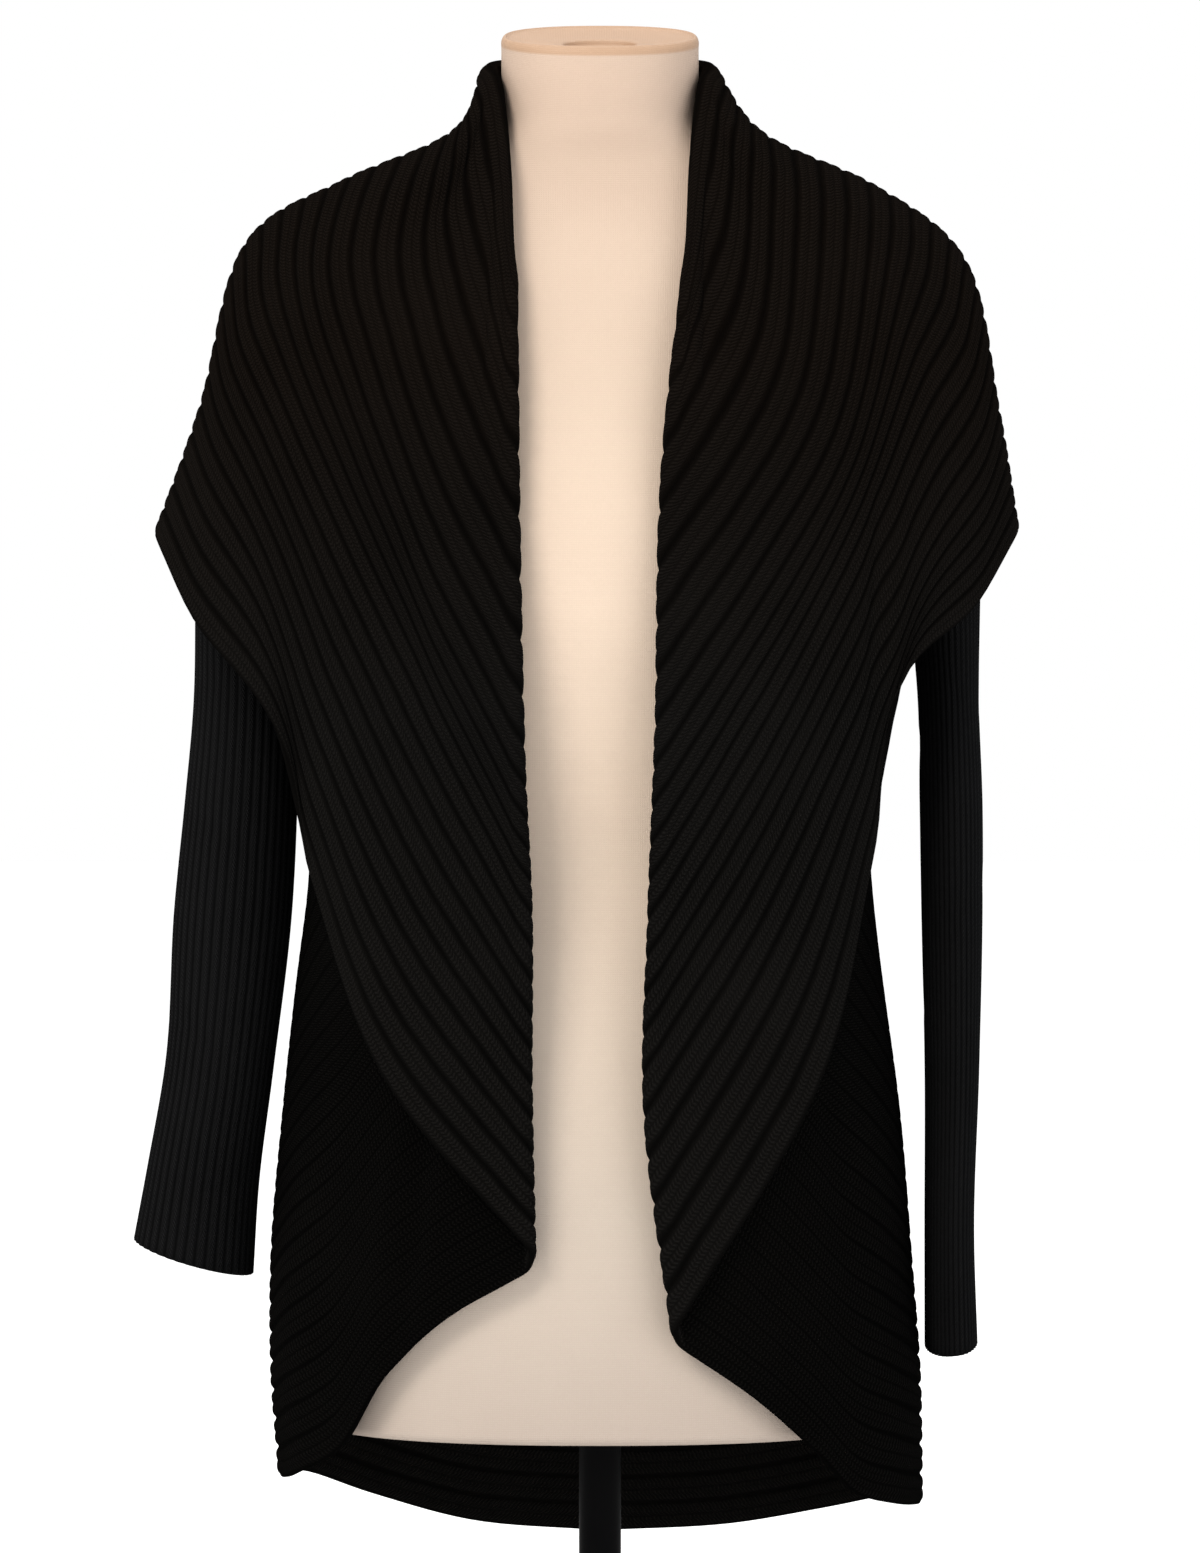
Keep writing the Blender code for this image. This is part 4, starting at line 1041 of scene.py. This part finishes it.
class Finish:
    """A material and short ways to wire its nodes."""

    def __init__(self, name):
        self.material = bpy.data.materials.new(name)
        self.material.use_nodes = True
        self.tree = self.material.node_tree
        self.shader = self.tree.nodes["Principled BSDF"]

    def add(self, kind, settings=None, **inputs):
        """A node with its settings, and its inputs fed by name."""
        made = self.tree.nodes.new(kind)
        for key, value in (settings or {}).items():
            setattr(made, key, value)
        for key, value in inputs.items():
            self.feed(made.inputs[key.replace("_", " ")], value)
        return made

    def feed(self, socket, value):
        """Links a node's output to the socket, or sets a plain value on it."""
        if isinstance(value, bpy.types.NodeSocket):
            self.tree.links.new(value, socket)
        else:
            socket.default_value = value

    def calc(self, operation, *values):
        """One step of arithmetic."""
        made = self.tree.nodes.new("ShaderNodeMath")
        made.operation = operation
        for socket, value in zip(made.inputs, values):
            self.feed(socket, value)
        return made.outputs[0]

    def span(self, value, low, high, first=0.0, last=1.0, kind="LINEAR"):
        """A value from low to high turned into one from first to last."""
        made = self.add("ShaderNodeMapRange", {"interpolation_type": kind}, Value=value)
        for k, number in enumerate((low, high, first, last), 1):
            made.inputs[k].default_value = number
        return made.outputs["Result"]

    def blend(self, share, first, second, kind="MIX"):
        """One colour turned into another, or multiplied by it, by a share."""
        made = self.add("ShaderNodeMix", {"data_type": "RGBA", "blend_type": kind})
        for k, value in ((0, share), (6, first), (7, second)):
            self.feed(made.inputs[k], value)
        return made.outputs[2]

    def ramp(self, factor, *stops):
        """Colour read from stops of (place, colour)."""
        made = self.add("ShaderNodeValToRGB", Fac=factor)
        elements = made.color_ramp.elements
        while len(elements) < len(stops):
            elements.new(0.5)
        for element, (place, colour) in zip(elements, stops):
            element.position = place
            element.color = (*colour, 1.0)
        return made.outputs["Color"]

    def place(self):
        """Where a point lies on the object, in metres."""
        return self.add("ShaderNodeTexCoord").outputs["Object"]

    def noise(self, scale, detail=2.0):
        """Cloudy noise with so many clouds to the metre."""
        made = self.add("ShaderNodeTexNoise", Scale=scale, Detail=detail, Vector=self.place())
        return made.outputs["Fac"]

    def kept(self, label):
        """A value that the cloth's points carry."""
        return self.add("ShaderNodeAttribute", {"attribute_name": label}).outputs["Fac"]

    def finished(self, **sockets):
        """Feeds the shader's sockets, each named with underscores for spaces."""
        for key, value in sockets.items():
            self.feed(self.shader.inputs[key.replace("_", " ")], value)
        return self.material


def knit(name, columns, share, low, cool, warm):
    """Rib knit: each rib carries one or two columns of loops, and a sunken groove parts the ribs.

    Across a column the two legs of a loop lean together into a V once every loop: the height is
    a cosine along the rib, pulled ahead toward the column's edges, times a round section across
    each leg. Fine noise over it is the yarn's fuzz. Where the ribs are pulled flat, their columns
    lie evenly side by side. The colour goes from painted shade in the grooves and gaps to painted
    light on the legs' tops, over random patches, and from cool below to a painted warm light at
    the shoulders; low is the share of colour left in the cape's painted shade.
    """
    finish = Finish(name)
    calc = finish.calc
    split = finish.add("ShaderNodeSeparateXYZ", Vector=finish.add("ShaderNodeUVMap").outputs["UV"])
    along = split.outputs["X"]
    wander = calc("MULTIPLY_ADD", finish.noise(45.0), 0.10, -0.05)
    across = calc("ADD", split.outputs["Y"], wander)
    flat = finish.kept("ease")
    ribbed = calc("SUBTRACT", 1.0, flat)

    from_top = calc("ABSOLUTE", calc("SUBTRACT", calc("FRACT", across), 0.5))
    from_top = calc("MULTIPLY", from_top, 2.0 / share)
    off = from_top
    if columns == 2:
        off = calc("ABSOLUTE", calc("MULTIPLY_ADD", from_top, 2.0, -1.0))
    even = calc("FRACT", calc("MULTIPLY", across, columns * 2.0))
    even = calc("MULTIPLY", calc("ABSOLUTE", calc("SUBTRACT", even, 0.5)), 2.0)
    off = calc("ADD", calc("MULTIPLY", off, ribbed), calc("MULTIPLY", even, flat))
    off = calc("MINIMUM", off, 1.0)

    loop = calc("COSINE", calc("MULTIPLY", calc("MULTIPLY_ADD", off, 0.5, along), 2 * math.pi))
    loop = calc("MULTIPLY_ADD", loop, 0.5, 0.5)
    legs = calc("MULTIPLY_ADD", calc("SINE", calc("MULTIPLY", off, math.pi)), 0.7, 0.3)
    edge = calc("SUBTRACT", 1.0, calc("MULTIPLY", calc("POWER", off, 2.4), 0.9))
    height = calc("MULTIPLY", calc("MULTIPLY", loop, legs), edge)
    raised = calc("MULTIPLY_ADD", finish.noise(2400.0, 3.0), 0.6, height)
    bump = finish.add("ShaderNodeBump", Strength=1.0, Distance=0.0012, Height=raised)

    # Painted shade and light: the colour is darker in the grooves and low in the loops and lighter
    # on their tops, over random patches; the cape's painted shade dims it more
    groove = calc("MULTIPLY", finish.span(from_top, 0.88, 1.0 / share, kind="SMOOTHSTEP"), ribbed)
    patches = calc("MULTIPLY", finish.noise(11.0, 3.0), 0.35)
    tone = calc("MULTIPLY_ADD", raised, 0.85, patches)
    tone = calc("MULTIPLY", tone, calc("MULTIPLY_ADD", groove, -0.40, 1.0))
    tone = calc("MULTIPLY", tone, finish.span(finish.kept("dim"), 0.0, 1.0, 1.0, low))
    # Painted warm light: between these heights the yarn's cool colour turns into its warm one
    level = finish.add("ShaderNodeSeparateXYZ", Vector=finish.place()).outputs["Z"]
    below, warm_lit_colour = (
        finish.ramp(tone, (0.15, [c * GROOVE_PAINTED_SHADE for c in yarn]), (0.9, yarn)) for yarn in (cool, warm)
    )
    return finish.finished(
        Base_Color=finish.blend(finish.span(level, *PAINTED_WARM_LIGHT_FROM), below, warm_lit_colour),
        Normal=bump.outputs["Normal"],
        Roughness=0.9,
        Specular_IOR_Level=0.0,
        Sheen_Weight=0.004,
        Sheen_Roughness=0.4,
    )


def jersey():
    """Cream jersey over foam, with the neck's satiny cap a little deeper in colour, and painted
    light and shade by height.
    """
    finish = Finish("jersey_cover")
    calc = finish.calc
    place = finish.place()
    split = finish.add("ShaderNodeSeparateXYZ", Vector=place)
    slant = (NECK_TOP_BACK - NECK_TOP_FRONT) / 1000 / NECK_DEPTH
    cap_line = (NECK_TOP_FRONT + NECK_TOP_BACK) / 2000 - CAP_EDGE
    level = calc("SUBTRACT", split.outputs["Z"], calc("MULTIPLY", split.outputs["Y"], slant))
    cap = calc("MULTIPLY", calc("SUBTRACT", level, cap_line), 700.0)
    level_place = finish.add("ShaderNodeVectorMath", {"operation": "MULTIPLY"})
    finish.feed(level_place.inputs[0], place)
    finish.feed(level_place.inputs[1], LEVEL)
    from_axis = finish.add("ShaderNodeVectorMath", {"operation": "LENGTH"})
    finish.feed(from_axis.inputs[0], level_place.outputs[0])
    inside = calc("LESS_THAN", from_axis.outputs["Value"], CAP_RADIUS)
    high = calc("GREATER_THAN", split.outputs["Z"], CAP_FLOOR)
    cap = calc("MAXIMUM", cap, calc("MULTIPLY", inside, high))
    cap = finish.add("ShaderNodeClamp", Value=cap).outputs[0]

    wave = "ShaderNodeTexWave"
    wales = finish.add(wave, {"bands_direction": "X"}, Scale=320.0, Distortion=1.5, Vector=place)
    courses = finish.add(wave, {"bands_direction": "Z"}, Scale=260.0, Distortion=1.0, Vector=place)
    weave = calc("MULTIPLY", wales.outputs["Fac"], courses.outputs["Fac"])
    grain = finish.noise(900.0, 2.0)
    tone = calc("MULTIPLY_ADD", weave, 0.25, calc("MULTIPLY", finish.noise(7.0, 3.0), 0.55))
    tone = calc("MULTIPLY_ADD", grain, 0.2, tone)
    cloth = finish.ramp(tone, (0.2, (0.68, 0.54, 0.43)), (0.75, (0.81, 0.66, 0.53)))
    satin = finish.ramp(tone, (0.2, (0.58, 0.39, 0.25)), (0.75, (0.67, 0.46, 0.30)))
    # Painted light and shade: the jersey's colour is multiplied by a ramp by height
    painted_light = finish.ramp(finish.span(split.outputs["Z"], 0.0, 1.0), *FORM_PAINTED_LIGHT)
    height = calc("MULTIPLY_ADD", grain, 0.5, weave)
    bump = finish.add("ShaderNodeBump", Strength=0.35, Distance=0.0004, Height=height)
    return finish.finished(
        Base_Color=finish.blend(1.0, finish.blend(cap, cloth, satin), painted_light, "MULTIPLY"),
        Normal=bump.outputs["Normal"],
        Roughness=calc("MULTIPLY_ADD", cap, -0.3, 0.85),
    )


def black_metal():
    """Satin black powder coat: a fine orange peel and slightly worn sheen."""
    finish = Finish("black_metal")
    wear = finish.noise(12.0, 4.0)
    peel = finish.noise(700.0, 2.0)
    bump = finish.add("ShaderNodeBump", Strength=0.25, Distance=0.0002, Height=peel)
    return finish.finished(
        Base_Color=finish.ramp(wear, *METAL_TINT),
        Normal=bump.outputs["Normal"],
        Roughness=finish.calc("MULTIPLY_ADD", wear, 0.2, 0.42),
        Specular_IOR_Level=0.02,
    )


def studio():
    """A wide white paper floor, the light and the camera.

    The paper glows a little further out, so that it meets the white surroundings without a line,
    and takes the object's own soft shadow near the base.
    """
    mesh = bpy.data.meshes.new("floor")
    corners = [(-FLOOR, -FLOOR, 0), (FLOOR, -FLOOR, 0), (FLOOR, FLOOR, 0), (-FLOOR, FLOOR, 0)]
    mesh.from_pydata(corners, [], [(0, 1, 2, 3)])
    floor = bpy.data.objects.new("floor", mesh)
    bpy.context.scene.collection.objects.link(floor)
    paper = Finish("paper")
    far = paper.add("ShaderNodeVectorMath", {"operation": "LENGTH"})
    paper.feed(far.inputs[0], paper.place())
    paper.finished(
        Base_Color=(0.93, 0.93, 0.93, 1.0),
        Roughness=0.9,
        Emission_Color=(1.0, 1.0, 1.0, 1.0),
        Emission_Strength=paper.span(far.outputs["Value"], *PAPER_GLOW),
    )
    mesh.materials.append(paper.material)
    for name, place, size, power, colour in (
        ("key", (-1.7, -2.6, 3.0), 1.6, 95.0, (1.0, 0.95, 0.88)),
        ("fill", (2.4, -2.6, 1.4), 2.6, 30.0, (0.95, 0.97, 1.0)),
        ("top", (0.0, 0.4, 3.2), 2.6, 40.0, (1.0, 1.0, 1.0)),
    ):
        light = bpy.data.lights.new(name, "AREA")
        light.energy = power
        light.size = size
        light.color = colour
        lamp = bpy.data.objects.new(name, light)
        lamp.location = place
        aim = np.array([0.0, 0.0, 0.6]) - np.array(place)
        flat = math.hypot(aim[0], aim[1])
        lamp.rotation_euler = (math.atan2(flat, -aim[2]), 0.0, math.atan2(-aim[0], aim[1]))
        bpy.context.scene.collection.objects.link(lamp)
    world = bpy.data.worlds.new("studio")
    world.use_nodes = True
    nodes, links = world.node_tree.nodes, world.node_tree.links
    nodes["Background"].inputs["Color"].default_value = (1.0, 1.0, 1.0, 1.0)
    bright = nodes.new("ShaderNodeMapRange")
    bright.inputs["To Min"].default_value = SURROUNDINGS
    links.new(nodes.new("ShaderNodeLightPath").outputs["Is Camera Ray"], bright.inputs["Value"])
    links.new(bright.outputs["Result"], nodes["Background"].inputs["Strength"])
    bpy.context.scene.world = world
    bpy.context.scene.view_settings.view_transform = "Standard"
    lens = bpy.data.cameras.new("camera")
    lens.sensor_width = SENSOR
    half_height = PHOTO_HEIGHT / 2 * MM_PER_PIXEL / 1000
    lens.lens = SENSOR / 2 * CAMERA_DISTANCE / half_height
    camera = bpy.data.objects.new("camera", lens)
    camera.location = (0.0, -CAMERA_DISTANCE, CAMERA_HEIGHT)
    camera.rotation_euler = (math.pi / 2, 0.0, 0.0)
    bpy.context.scene.collection.objects.link(camera)
    bpy.context.scene.camera = camera


studio()
wide_rib = knit("band_knit", 2, 0.70, 0.42, (0.0086, 0.0080, 0.0074), (0.0080, 0.0059, 0.0046))
narrow_rib = knit("body_knit", 1, 0.66, 1.0, (0.0122, 0.0124, 0.0130), (0.0124, 0.0120, 0.0122))
bands = {side: band(side, wide_rib) for side in ("right", "left")}
panel = back_panel(narrow_rib)
sleeves = {side: sleeve(side, narrow_rib) for side in ("right", "left")}
dress_form(jersey())
stand(black_metal())
